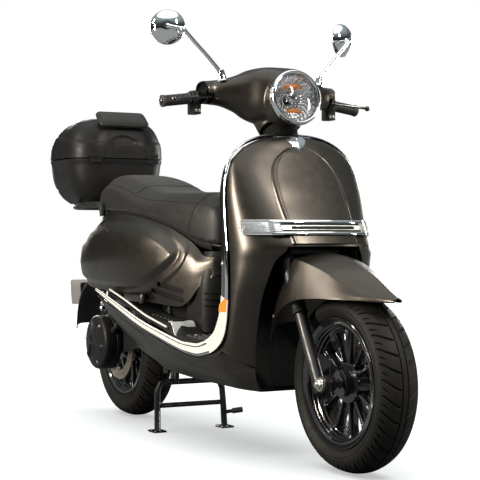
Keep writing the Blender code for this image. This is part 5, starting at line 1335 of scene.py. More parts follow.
def top_case():
    """A hollow lid and a hollow tub, with hinges, latch, lock and reflectors."""
    lid = [case_ring(*level) for level in case_levels(CASE_LID, 14)]
    x0, x1, half, corner, z = CASE_LID[-1]
    cap = [case_ring(x0 - s, x1 + s, half - s, max(corner - s, 0.006), z + 0.002 * (1 - (1 - s / 0.05) ** 2))
           for s in (0.008, 0.018, 0.03, 0.045, 0.058)]
    outer = [press(ring, lid_relief) for ring in lid] + cap
    inner = [[p + vec(0, 0, -0.0035) for p in ring] for ring in reversed(cap)]
    inner += [case_ring(a - 0.004, b + 0.004, c - 0.004, d - 0.004, e - (0.0035 if e > 0.9 else 0))
              for a, b, c, d, e in reversed(case_levels(CASE_LID, 3))]
    verts, faces = grid(outer, wrap=True)
    count = len(outer[0])
    more, more_faces = grid(inner, wrap=True)
    base = len(verts)
    faces += [tuple(base + v for v in face) for face in more_faces]
    last = base - count
    faces.append(tuple(last + k for k in range(count)))
    faces.append(tuple(base + k for k in reversed(range(count))))
    rim = base + len(more) - count
    faces += [(k, (k + 1) % count, rim + (k + 1) % count, rim + k) for k in range(count)]
    lid_obj = piece("case_lid_shell", clean(mesh_from(verts + more, faces)), "case_lid", CASE_BLACK, 32,
                    "black_plastic", "case_lid")
    rounded(lid_obj, 0.0008)
    tub = [case_ring(*level) for level in case_levels(CASE_BASE, 10)]
    x0, x1, half, corner, z = CASE_BASE[0]
    bottom = [case_ring(x0 - s, x1 + s, half - s, max(corner - s, 0.006), z) for s in (0.06, 0.03, 0.004)]
    outside = bottom + [press(ring, base_relief) for ring in tub]
    inside_rings = [case_ring(a - 0.004, b + 0.004, c - 0.004, d - 0.004, e) for a, b, c, d, e
                    in reversed(case_levels(CASE_BASE, 3))]
    inside_rings[-1] = [p + vec(0, 0, 0.004) for p in inside_rings[-1]]
    base_obj = piece("case_tub", loft_mesh(outside + inside_rings), "chassis", CASE_BLACK, 32,
                     "black_plastic", "case_base")
    rounded(base_obj, 0.0008)
    for name, side in SIDES.items():
        y = 0.108 * side
        leaf = block_mesh((-0.7855, y - 0.022, 0.8995), (-0.7795, y + 0.022, 0.912))
        rounded(piece("case_hinge_upper_" + name, leaf, "case_lid", DARK, 40), 0.0012, 3)
        leaf = block_mesh((-0.7855, y - 0.02, 0.879), (-0.78, y + 0.02, 0.8935))
        rounded(piece("case_hinge_lower_" + name, leaf, "chassis", DARK, 40), 0.0012, 3)
        pin = [vec(-0.781, y + k * 0.0085, 0.896) for k in range(-2, 3)]
        knuckles = [tube_mesh([p - vec(0, 0.0032, 0), p + vec(0, 0.0032, 0)], 0.0026, 14) for p in pin]
        rounded(piece("case_hinge_pin_" + name, merged(*knuckles), "chassis", PANEL_BLACK, 40), 0.0006)
    latch = block_mesh((-1.1255, -0.03, 0.868), (-1.118, 0.03, 0.8945))
    rounded(piece("case_latch", latch, "chassis", PANEL_BLACK, 40), 0.003, 4)
    lock = turned_mesh([(0, 0.0035), (0.0015, 0.0035), (0.0022, 0.0025), (0.007, 0.0025), (0.008, 0.001),
                        (0.008, -0.003), (0, -0.003)], vec(-1.1256, 0, 0.88), (-1, 0, 0), 28, closed=False)
    piece("case_lock", lock, "chassis", CHROME, 35, "chrome")
    for name, side in SIDES.items():
        rows = []
        for k in range(5):
            z = 0.835 + 0.02 * k / 4
            rows.append([vec(-1.114 + 0.03 * (i / 10) ** 2.2, (0.04 + 0.075 * i / 10) * side, z)
                         for i in range(11)])
        shell("case_reflector_" + name, [[p - vec(0.0035, 0, 0) for p in r] for r in rows], "chassis", RED,
              thickness=0.003)


top_case()


# ---- padded pieces ----
def padded(name, mesh, body, material, voxel, cap, pressure, pinned=None, slot=None, replaces=None):
    """A stuffed cover: the form is remeshed and inflated by cloth simulation, moving no further than cap."""
    obj = added(name, mesh)
    remesh(obj, voxel)
    baked(obj)
    rest = np.empty(len(obj.data.vertices) * 3)
    obj.data.vertices.foreach_get("co", rest)
    rest = rest.reshape(-1, 3)
    if pinned:
        group = obj.vertex_groups.new(name="pin")
        group.add([i for i, p in enumerate(rest) if pinned(p)], 1.0, "REPLACE")
    cloth = obj.modifiers.new("cloth", "CLOTH")
    cloth.settings.quality = 5
    cloth.settings.mass = 0.4
    cloth.settings.tension_stiffness = cloth.settings.compression_stiffness = 25
    cloth.settings.bending_stiffness = 4.0
    cloth.settings.use_pressure = True
    cloth.settings.uniform_pressure_force = pressure
    cloth.settings.effector_weights.gravity = 0
    if pinned:
        cloth.settings.vertex_group_mass = "pin"
    cloth.point_cache.frame_start, cloth.point_cache.frame_end = 1, 20
    for step in range(1, 21):
        bpy.context.scene.frame_set(step)
    baked(obj)
    bpy.context.scene.frame_set(1)
    moved_to = np.empty(len(rest) * 3)
    obj.data.vertices.foreach_get("co", moved_to)
    shift = moved_to.reshape(-1, 3) - rest
    length = np.linalg.norm(shift, axis=1)
    shift *= np.minimum(1, cap / np.maximum(length, 1e-9))[:, None]
    obj.data.vertices.foreach_set("co", (rest + shift).ravel())
    smoother = obj.modifiers.new("relax", "SMOOTH")
    smoother.factor = 0.5
    smoother.iterations = 6
    finer = obj.modifiers.new("finer", "SUBSURF")
    finer.levels = finer.render_levels = 1
    baked(obj)
    mesh = obj.data
    bpy.data.objects.remove(obj)
    mesh.materials.clear()
    made = piece(name, mesh, body, material, 0, slot, replaces or ())
    return made


# Seat stations from the nose to the rear: x, half width, underside z, height of the shoulder, crown z.
SEAT = [
    (0.068, 0.072, 0.588, 0.69, 0.722), (0.04, 0.09, 0.592, 0.712, 0.742),
    (-0.03, 0.112, 0.606, 0.722, 0.752), (-0.11, 0.13, 0.634, 0.728, 0.755),
    (-0.2, 0.145, 0.659, 0.733, 0.758), (-0.29, 0.154, 0.677, 0.738, 0.763),
    (-0.37, 0.157, 0.687, 0.75, 0.777), (-0.45, 0.158, 0.694, 0.77, 0.8),
    (-0.54, 0.153, 0.699, 0.788, 0.819), (-0.63, 0.144, 0.702, 0.795, 0.829),
    (-0.705, 0.131, 0.704, 0.786, 0.82), (-0.742, 0.108, 0.708, 0.768, 0.797),
]
SEAT_LIFT = 0.0065


def seat_profile(half, low, shoulder, crown):
    """Half of the seat's section, from the crown down to the underside."""
    low += SEAT_LIFT
    return [(0, crown), (half * 0.3, crown - 0.001), (half * 0.58, crown - 0.005),
            (half * 0.8, shoulder + 0.004), (half * 0.93, shoulder - 0.012),
            (half * 0.985, (low + shoulder) / 2), (half * 0.99, low + 0.012), (half * 0.95, low + 0.001),
            (half * 0.45, low + 0.001), (0, low + 0.001)]


def seat_stations(per=5):
    sizes = [Vector(s[:3]) for s in SEAT]
    heights = [vec(s[3], s[4], 0) for s in SEAT]
    return [(*a, b.x, b.y) for a, b in zip(spline(sizes, per), spline(heights, per))]


def seat_surface(x, share):
    """A point on the seat's skin at a station x, this share of the way from its crown to its underside."""
    stations = sorted(seat_stations(8))
    near = min(stations, key=lambda s: abs(s[0] - x))
    path = spline([(y, z, 0) for y, z in seat_profile(*near[1:])], 6)
    spot = path[min(int(share * (len(path) - 1)), len(path) - 1)]
    return vec(x, spot.x, spot.y)


def seat():
    """The stuffed cushion, held to its base along the lower edge."""
    rings = []
    inset = 0.001
    for x, half, low, shoulder, crown in seat_stations():
        profile = seat_profile(half - inset, low, shoulder - inset, crown - inset)
        left = [vec(x, p.x, p.y) for p in spline([(y, z, 0) for y, z in profile], 4)]
        rings.append(left + [mirrored(p) for p in reversed(left[1:-1])])

    def end_cap(source, x, shrink):
        middle = sum(source, Vector()) / len(source)
        return [vec(x, p.y * shrink, middle.z + (p.z - middle.z) * (shrink - 0.02)) for p in source]

    rings = [end_cap(rings[0], 0.0735, 0.8)] + rings + [end_cap(rings[-1], -0.7475, 0.82)]
    hem = sorted((station[0], station[2] + SEAT_LIFT + 0.004) for station in SEAT)
    return padded("seat_cover", loft_mesh(rings), "seat", VINYL, 0.0058, 0.004, 3.0,
                  pinned=lambda p: p[2] < lerp(hem, p[0]), slot="seat_cover",
                  replaces="seat_cushion")


def project_down(obj, points, lift):
    """Points laid on an object's surface, pushed out along its normal."""
    laid = []
    for p in points:
        hit, spot, normal, _ = obj.closest_point_on_mesh(Vector(p))
        laid.append(spot + normal * lift if hit else Vector(p))
    return laid


def seam_on(obj, name, points, body, radius=0.0016, stitches=0.0):
    """A piping seam pressed onto a cover, with a row of stitches beside it if a spacing is given."""
    path = project_down(obj, spline(points, 10), radius * 0.15)
    piece(name, tube_mesh(path, radius, 8), body, VINYL, 0)
    if stitches:
        total, marks = 0.0, []
        for a, b in zip(path, path[1:]):
            total += (b - a).length
            if total >= stitches:
                total = 0.0
                marks.append((a, b))
        threads = []
        for a, b in marks:
            along = (b - a).normalized()
            normal = obj.closest_point_on_mesh(a)[2]
            aside = along.cross(normal).normalized()
            mid = a + aside * 0.0042
            ends = project_down(obj, [mid - along * 0.0024, mid, mid + along * 0.0024], 0.0004)
            threads.append(tube_mesh(ends, [0.0004, 0.0006, 0.0004], 6))
        if threads:
            piece(name + "_thread", merged(*threads), body, THREAD, 0)


def seat_seams(cover):
    """Piping, a hem and a front seam down each side of the seat."""
    for name, side in SIDES.items():
        line = [mirrored(seat_surface(x, 0.36), side)
                for x in (0.055, 0.0, -0.08, -0.18, -0.29, -0.37, -0.45, -0.54, -0.63, -0.7, -0.735)]
        seam_on(cover, "seat_piping_" + name, line, "seat", 0.0017, 0.0065)
        hem = [mirrored(seat_surface(x, 0.7), side)
               for x in (0.06, 0.0, -0.1, -0.22, -0.34, -0.46, -0.58, -0.7, -0.738)]
        seam_on(cover, "seat_hem_" + name, [p + vec(0, 0, 0.004) for p in hem], "seat", 0.0014)
        shares = (0.02, 0.15, 0.28, 0.42, 0.55, 0.68)
        upright = [mirrored(seat_surface(-0.01 * k, share), side) for k, share in enumerate(shares)]
        seam_on(cover, "seat_front_seam_" + name, upright, "seat", 0.0014)
    step = [seat_surface(-0.392 - 0.012 * abs(s) / 0.36, abs(s)) for s in (0.36, 0.25, 0.12, 0.0)]
    step = [mirrored(p) for p in step] + list(reversed(step[:-1]))
    seam_on(cover, "seat_step_seam", step, "seat", 0.0015, 0.0065)


seat_seams(seat())


def back_pad():
    """The rounded rest that leans on the lid's front edge."""
    slope = radians(40)
    along = vec(-cos(slope), 0, sin(slope))
    out = vec(sin(slope), 0, cos(slope))
    middle = vec(-0.8045, 0, 1.0335)
    rings = []
    for k in range(19):
        y = -0.0955 + 0.191 * k / 18
        edge = min((0.0955 - abs(y)) / 0.016, 1)
        reach = 0.0415 * (0.7 + 0.3 * sqrt(max(1 - (1 - edge) ** 2, 0)))
        thick = 0.0105 * (0.45 + 0.55 * sqrt(max(1 - (1 - edge) ** 2, 0)))
        ring = []
        for a in all_round(36):
            c, s = cos(a), sin(a)
            ring.append(middle + vec(0, y, 0) + along * reach * squarer(c, 0.55)
                        + out * thick * squarer(s, 0.7))
        rings.append(ring)
    pad = padded("back_pad_cover", loft_mesh(rings), "case_lid", VINYL, 0.0045, 0.003, 3.0, slot="seat_cover",
                 replaces="case_pad")
    ring = [middle + along * a * 0.0375 + vec(0, b * 0.091, 0) + out * 0.02
            for a, b in ((1, -0.9), (1, 0), (1, 0.9), (0.9, 1), (0, 1), (-0.9, 1), (-1, 0.9), (-1, 0),
                         (-1, -0.9), (-0.9, -1), (0, -1), (0.9, -1), (1, -0.9))]
    seam_on(pad, "back_pad_piping", ring, "case_lid", 0.0012)


back_pad()


def seat_gap_shade():
    """A near-black lip under the seat that closes the gap to the cowls with painted shade."""
    # The lip's near-black colour is painted shade for the gap between seat and cowls.
    rows = [[vec(x, half * 0.9, low + SEAT_LIFT), vec(x, half * 0.885, low - 0.01),
             vec(x, half * 0.8, low - 0.016), vec(x, half * 0.6, low - 0.012)]
            for x, half, low, _, _ in SEAT[1:-1]]
    for name, side in SIDES.items():
        shell("seat_gap_shade_" + name, [[mirrored(p, side) for p in row] for row in refine(rows, 4, 2)],
              "seat", DARK, thickness=0.002, edge=0.0004)


seat_gap_shade()


# ---- headset, lamp, mirrors and controls ----
# Half of the arms' sections, as y, centre x, centre z, half length, half height.
HEADSET = [
    (0.0, 0.284, 1.018, 0.104, 0.084), (0.045, 0.281, 1.02, 0.1, 0.081), (0.08, 0.27, 1.023, 0.084, 0.071),
    (0.11, 0.256, 1.026, 0.062, 0.054), (0.15, 0.24, 1.028, 0.047, 0.039), (0.185, 0.23, 1.028, 0.041, 0.034),
    (0.21, 0.23, 1.027, 0.041, 0.032),
]
HEADLIGHT = vec(0.393, 0, 1.008)
HEADLIGHT_R = 0.076
ARM_END = 0.2095
LIGHT_TILT = radians(8)
LIGHT_AXIS = vec(cos(LIGHT_TILT), 0, sin(LIGHT_TILT))
LIGHT_UP = vec(-sin(LIGHT_TILT), 0, cos(LIGHT_TILT))


def arms_mesh(inset, reach, count=56, per=8):
    """A closed form of both arms, smaller by inset and longer at each end by reach."""
    stations = [vec(y, cx, cz) for y, cx, cz, _, _ in HEADSET]
    sizes = [vec(a, b, 0) for *_, a, b in HEADSET]
    half = list(zip(spline(stations, per), spline(sizes, per)))
    rings = []
    for centre, size in [(mirrored((c.y, c.x, c.z)), s) for c, s in reversed(half[1:])] + [
            (vec(c.y, c.x, c.z), s) for c, s in half]:
        ring = []
        for a in all_round(count):
            c, s = cos(a), sin(a)
            ring.append(vec(centre.x + (size.x - inset) * squarer(c, 0.8), centre.y,
                            centre.z + (size.y - inset) * squarer(s, 0.8)))
        rings.append(ring)
    rings[0] = [p - vec(0, reach, 0) for p in rings[0]]
    rings[-1] = [p + vec(0, reach, 0) for p in rings[-1]]
    return loft_mesh(rings)


def cone_mesh(start, end, radius, end_radius, steps=96):
    start, end = Vector(start), Vector(end)
    height = (end - start).length
    profile = [(0, 0), (radius, 0), (end_radius, height), (0, height)]
    return turned_mesh(profile, start, end - start, steps, closed=False)


def headset():
    """A hollow cover with soft fillets between its arms, lamp barrel and neck."""
    back, front = HEADLIGHT - LIGHT_AXIS * 0.085, HEADLIGHT - LIGHT_AXIS * 0.006
    solid = carved(arms_mesh(0, 0.004), cone_mesh(back, front, 0.074, HEADLIGHT_R + 0.003),
                   cone_mesh(steer(-0.088, 0.01), steer(-0.03, 0.01), 0.062, 0.074), operation="UNION")
    obj = added("headset", solid)
    remesh(obj, voxel=0.0026)
    soften = obj.modifiers.new("soften", "SMOOTH")
    soften.factor = 0.5
    soften.iterations = 14
    solid = baked(obj).data
    bpy.data.objects.remove(obj)
    cutters = [arms_mesh(0.0036, 0.02, 40, 4),
               cone_mesh(back, front + LIGHT_AXIS * 0.012, 0.07, HEADLIGHT_R - 0.001),
               cone_mesh(steer(-0.13, 0.01), steer(-0.03, 0.01), 0.052, 0.07),
               block_mesh((0.1, -0.4, 0.8), (0.5, -ARM_END, 1.2)),
               block_mesh((0.1, ARM_END, 0.8), (0.5, 0.4, 1.2)),
               cone_mesh(HEADLIGHT - LIGHT_AXIS * 0.0065, HEADLIGHT + LIGHT_AXIS * 0.05, 0.1, 0.1),
               cone_mesh(steer(-0.2, 0.01), steer(-0.0865, 0.01), 0.1, 0.1)]
    for side in SIDES.values():
        y0, y1 = sorted((0.19 * side, 0.216 * side))
        cutters.append(block_mesh((0.234, y0, 0.992), (0.29, y1, 1.0235)))
    mesh = solid
    for cutter in cutters:
        mesh = carved(mesh, cutter)
    piece("headset_shell", mesh, "steering", PAINT, 34, "body_paint", "headset_cover")
    for name, side in SIDES.items():
        ring = [vec(0.23 + 0.0395 * squarer(cos(a), 0.8), 0.2098 * side,
                    1.027 + 0.0305 * squarer(sin(a), 0.8))
                for a in (2 * pi * k / 48 for k in range(49)) if 0.35 <= a <= 5.9]
        piece("arm_lip_" + name, tube_mesh(ring, 0.0022, 8), "steering", PANEL_BLACK)
        inner = []
        for r, d in ((0.0385, 0.0), (0.03, 0.01), (0.016, 0.016)):
            inner.append([vec(0.23 + r * 0.96 * cos(a), (0.205 - d) * side, 1.027 + r * 0.72 * sin(a))
                          for a in all_round(40)])
        piece("arm_gaiter_" + name, clean(mesh_from(*grid(inner, wrap=True))), "steering", DARK, 50)
    throat = []
    for k in range(10):
        t = -0.09 - 0.0085 * k
        throat += [(0.0485 - 0.001 * k + 0.0018, t), (0.0485 - 0.001 * k - 0.0014, t - 0.0042)]
    rings = [[steer(t, 0.008 + r * cos(a), r * 0.98 * sin(a)) for a in all_round(64)]
             for r, t in throat]
    piece("neck_gaiter", clean(mesh_from(*grid(rings, wrap=True))), "steering", DARK, 60)


headset()


def headlight():
    """Chrome ring, domed glass, and a faceted reflector with its bulb and two amber side lamps."""
    ring = curve_of([(HEADLIGHT_R - 0.0085, -0.0035), (HEADLIGHT_R - 0.0075, 0.009),
                     (HEADLIGHT_R - 0.004, 0.0128), (HEADLIGHT_R, 0.012), (HEADLIGHT_R + 0.003, 0.006),
                     (HEADLIGHT_R + 0.003, -0.0035)], 5)
    piece("lamp_ring", turned_mesh(ring, HEADLIGHT, LIGHT_AXIS, 120), "steering", CHROME, 50, "chrome",
          "headlight_bezel")
    r = HEADLIGHT_R - 0.0088
    outer = curve_of([(0.0, 0.0235), (r * 0.35, 0.0218), (r * 0.7, 0.015), (r * 0.92, 0.0075), (r, 0.002)], 8)
    glass = outer + [(max(q - 0.001, 0.0), h - 0.0022) for q, h in reversed(outer)]
    piece("lamp_glass", turned_mesh(glass, HEADLIGHT, LIGHT_AXIS, 96, closed=False), "steering", LENS, 0,
          "clear_lens", "headlight_lens")

    def facets(radius, height, angle):
        k = int(round(radius * 1000 / 7.0))
        step = pi / 14
        cell = (angle / step + (0.5 if k % 2 else 0)) % 1
        bulge = 0.003 * sin(pi * cell) * min(1, radius / 0.02)
        return radius, height - bulge

    bowl = [(0.0105 + 0.0052 * k, -0.041 + 0.0004 * k ** 2 * 0.72 + (0.0014 if k % 2 else 0))
            for k in range(11)]
    bowl.append((r - 0.0006, 0.0004))
    piece("lamp_reflector", turned_mesh(bowl, HEADLIGHT, LIGHT_AXIS, 224, closed=False, shape=facets),
          "steering", REFLECTOR, 18)
    shade = turned_mesh(curve_of([(0, 0.0), (0.01, -0.001), (0.0145, -0.006), (0.015, -0.016),
                                  (0.013, -0.02)], 5),
                        HEADLIGHT - LIGHT_AXIS * 0.01 + LIGHT_UP * 0.006, LIGHT_AXIS, 48, closed=False)
    piece("lamp_shade", shade, "steering", CHROME, 40)
    bulb = turned_mesh(curve_of([(0, 0.012), (0.006, 0.009), (0.0075, 0.0), (0.006, -0.012)], 5),
                       HEADLIGHT - LIGHT_AXIS * 0.03, LIGHT_AXIS, 32, closed=False)
    piece("lamp_bulb", bulb, "steering", LENS, 40)
    for k, (up, half) in enumerate(((0.033, 0.03), (-0.036, 0.024))):
        rows = []
        for j in range(7):
            v = 2 * j / 6 - 1
            row = []
            for i in range(11):
                w = 2 * i / 10 - 1
                sunk = -0.006 - 0.01 * w ** 2 + 0.003 * (1 - v * v)
                lift = up + 0.0062 * v * (1 - 0.3 * w ** 2)
                row.append(HEADLIGHT + LIGHT_UP * lift + vec(0, half * w, 0) + LIGHT_AXIS * sunk)
            rows.append(row)
        shell(f"lamp_side_light_{k}", refine(rows, 2, 2), "steering", AMBER, thickness=0.0015, edge=0)


headlight()


def mirror(name, side):
    """Dished chrome back, thin rim, glass, ball joint and the polished stem with its cone."""
    toe = radians(28.6)
    facing = vec(cos(toe), sin(toe) * side, 0)
    centre = mirrored((0.182, 0.296, 1.214), side)
    back = curve_of([(0, 0.0215), (0.018, 0.0197), (0.036, 0.0118), (0.047, 0.001), (0.0498, -0.007),
                     (0.0499, -0.0105), (0.0488, -0.0118), (0.0474, -0.0112)], 6)
    shell_mesh = turned_mesh(back, centre, facing, 96, closed=False)
    piece("mirror_shell_" + name, shell_mesh, "mirror_" + name, CHROME, 60, "chrome", "mirror_head_" + name)
    glass = turned_mesh([(0.0476, -0.0098), (0.0474, -0.0112), (0.03, -0.0116), (0, -0.0118)], centre,
                        facing, 96, closed=False)
    piece("mirror_glass_" + name, glass, "mirror_" + name, MIRROR_GLASS, 0)
    stem_top = mirrored((0.243, 0.273, 1.199), side)
    ball = turned_mesh([(0.0085 * sin(pi * k / 16), -0.0085 * cos(pi * k / 16)) for k in range(17)],
                       stem_top + vec(-0.006, 0.001 * side, 0.002), (0, 0, 1), 32, closed=False)
    piece("mirror_ball_" + name, ball, "mirror_" + name, CHROME, 0, "chrome")
    start = stem_top + vec(-0.01, 0.003 * side, 0.0035)
    end = centre + facing * 0.018
    path = spline([start, start.lerp(end, 0.5) + facing * 0.005, end], 8)
    arm = tube_mesh(path, [0.0052 + 0.0022 * abs(2 * k / 16 - 1) ** 2 for k in range(17)], 20)
    piece("mirror_arm_" + name, arm, "mirror_" + name, CHROME, 50, "chrome")
    nut = turned_mesh([(0, 0.003), (0.0062, 0.003), (0.007, 0.002), (0.007, -0.002), (0, -0.002)],
                      centre + facing * 0.0215, facing, 6, closed=False)
    rounded(piece("mirror_nut_" + name, nut, "mirror_" + name, CHROME, 30, "chrome"), 0.0006)
    path = spline([mirrored(p, side) for p in ((0.258, 0.159, 1.04), (0.258, 0.161, 1.075),
                                               (0.253, 0.195, 1.118), (0.246, 0.24, 1.165),
                                               (0.243, 0.273, 1.199))], 12)
    piece("mirror_rod_" + name, tube_mesh(path, 0.0055, 20), "steering", CHROME, 50, "chrome",
          "mirror_stem_" + name)
    base = mirrored((0.258, 0.159, 1.06), side)
    cone = turned_mesh(curve_of([(0, 0.0), (0.015, 0.0), (0.015, 0.0025), (0.0125, 0.006), (0.0098, 0.02),
                                 (0.0082, 0.031), (0.006, 0.033), (0, 0.033)], 4, (1, 2, 5, 6)),
                       base, (0, 0.18 * side, 1), 48, closed=False)
    piece("mirror_cone_" + name, cone, "steering", CHROME, 35, "chrome")


# The straight part of the bar that the switches and the grip sit on: its inner and outer end.
BAR_ENDS = ((0.21, 0.215, 1.014), (0.204, 0.323, 1.0))


def grip(name, side, body, node):
    """A rubber grip with collars and rows of ribs, and its bar end."""
    inner, outer = (mirrored(end, side) for end in BAR_ENDS)
    along = (outer - inner).normalized()
    start = inner + along * 0.024
    length = (outer - start).length + 0.003
    profile = [(0.0118, 0.0)]
    profile += [(0.0165, 0.0), (0.0172, 0.0012), (0.0172, 0.007), (0.016, 0.0086), (0.0145, 0.009)]
    count = 22
    for k in range(count):
        h = 0.011 + (length - 0.023) * k / count
        step = (length - 0.023) / count
        profile += [(0.0146, h), (0.0159, h + step * 0.28), (0.0159, h + step * 0.66),
                    (0.0146, h + step * 0.92)]
    profile += [(0.015, length - 0.0105), (0.0168, length - 0.009), (0.0172, length - 0.0075),
                (0.0172, length - 0.001), (0.016, length), (0.0118, length)]

    def pads(radius, height, angle):
        rib = 0.0149 < radius < 0.0162
        gap = cos(angle * 3) > 0.93
        return (0.0147 if rib and gap else radius), height

    piece(name + "_sleeve", turned_mesh(profile, start, along, 96, shape=pads), body, GRIP, 45,
          "rubber", node)
    end = start + along * (length + 0.0002)
    cap = turned_mesh(curve_of([(0, 0.004), (0.007, 0.0036), (0.0105, 0.0016), (0.0112, -0.001)], 4),
                      end, along, 40, closed=False)
    piece(name + "_bar_end", cap, body, STAND_BLACK, 40)


def lever(name, side):
    """A forged blade that thins and curves to a ball, round its pin."""
    tilt = radians(6)
    pivot = mirrored((0.246, 0.186, 1.0145), side)
    axis = vec(0, sin(tilt) * side, cos(tilt))
    turn = vec(0, 0, 1).rotation_difference(axis)
    line = spline([(0.001, 0.004, 0), (0.003, 0.022, 0), (0.01, 0.052, 0), (0.0185, 0.082, 0),
                   (0.0275, 0.112, 0), (0.03, 0.128, 0)], 8)
    rings = []
    for k, p in enumerate(line):
        u = k / (len(line) - 1)
        wide, thick = 0.0088 - 0.0045 * u, 0.0042 - 0.0006 * u
        ring = []
        for a in all_round(20):
            c, s = cos(a), sin(a)
            ring.append(pivot + turn @ vec(p.x + wide * squarer(c, 0.75), p.y * side,
                                           thick * squarer(s, 0.75)))
        rings.append(ring)
    ball_at = pivot + turn @ vec(0.0305, 0.134 * side, 0)
    ball = turned_mesh([(0.0078 * sin(pi * k / 18), -0.0078 * cos(pi * k / 18)) for k in range(19)],
                       ball_at, axis, 36, closed=False)
    eye = turned_mesh([(0.0049, 0.004), (0.009, 0.004), (0.0098, 0.003), (0.0098, -0.003), (0.009, -0.004),
                       (0.0049, -0.004)], pivot, axis, 40)
    piece("lever_blade_" + name, merged(loft_mesh(rings), ball, eye), "lever_" + name, STAND_BLACK, 40,
          "gloss_black_alloy", "brake_lever_" + name)
    piece("lever_screw_" + name, bolt_mesh(pivot + axis * 0.0062, axis, 0.0045, 0.003), "steering", BOLT, 35)


for side_name, side_sign in SIDES.items():
    mirror(side_name, side_sign)
    lever(side_name, side_sign)
grip("throttle", -1, "throttle", "throttle_grip")
grip("left", 1, "steering", "left_grip")


def switchgear():
    """Switch clusters beside the grips: a collar, and a face with two rockers and the button's hole."""
    for name, side in SIDES.items():
        inner, outer = (mirrored(end, side) for end in BAR_ENDS)
        along = (outer - inner).normalized()
        collar = turned_mesh(curve_of([(0.012, 0.0005), (0.0205, 0.001), (0.0215, 0.004), (0.0215, 0.019),
                                       (0.02, 0.0215), (0.012, 0.022)], 3, (1, 4)),
                             inner, along, 64)
        piece("switch_collar_" + name, collar, "steering", PANEL_BLACK, 40)
        y0, y1 = 0.2142 * side, 0.2352 * side
        face = block_mesh((0.1862, y0, 0.97), (0.1905, y1, 1.023))
        hole = tube_mesh([vec(0.18, 0.226 * side, 0.985), vec(0.195, 0.226 * side, 0.985)], 0.0075, 24)
        rounded(piece("switch_face_" + name, carved(face, hole), "steering", PANEL_BLACK, 40), 0.0012, 3)
        for k, z in enumerate((1.003, 1.016)):
            knob = block_mesh((0.1832, 0.22 * side, z - 0.004), (0.1865, 0.23 * side, z + 0.004))
            rounded(piece(f"switch_rocker_{k}_{name}", knob, "steering", DARK if k else ALLOY, 40), 0.001, 3)
        clamp = [bolt_mesh(vec(0.2305, (0.2185 + 0.011 * k) * side, 0.976), (1, 0, 0), 0.0032, 0.0025)
                 for k in (0, 1)]
        piece("switch_bolts_" + name, merged(*clamp), "steering", BOLT, 35)


switchgear()


def dash():
    """An oval instrument with a chrome rim and a blank dark glass, facing the rider."""
    centre = vec(0.221, 0, 1.073)
    up = vec(-0.66, 0, 0.75).normalized()
    fore = vec(up.z, 0, -up.x)
    points = 96

    def oval(a, b, lift):
        return [centre + fore * (a * cos(t)) + vec(0, b * sin(t), 0) + up * lift
                for t in all_round(points)]

    rings = [oval(0.046, 0.066, -0.016), oval(0.047, 0.067, -0.004), oval(0.0455, 0.0655, 0.0022),
             oval(0.042, 0.062, 0.003), oval(0.0405, 0.0605, 0.001)]
    piece("dash_rim", clean(mesh_from(*grid(rings, wrap=True))), "steering", CHROME, 40, "chrome")
    glass = [oval(0.0408 * s, 0.0608 * s, 0.0008 + 0.0026 * (1 - s * s))
             for s in (1, 0.85, 0.65, 0.45, 0.25, 0.08)]
    verts, faces = grid(glass, wrap=True)
    faces.append(tuple(range(len(verts) - points, len(verts))))
    piece("dash_glass", clean(mesh_from(verts, faces)), "steering", GLASS_BLACK, 0)


dash()


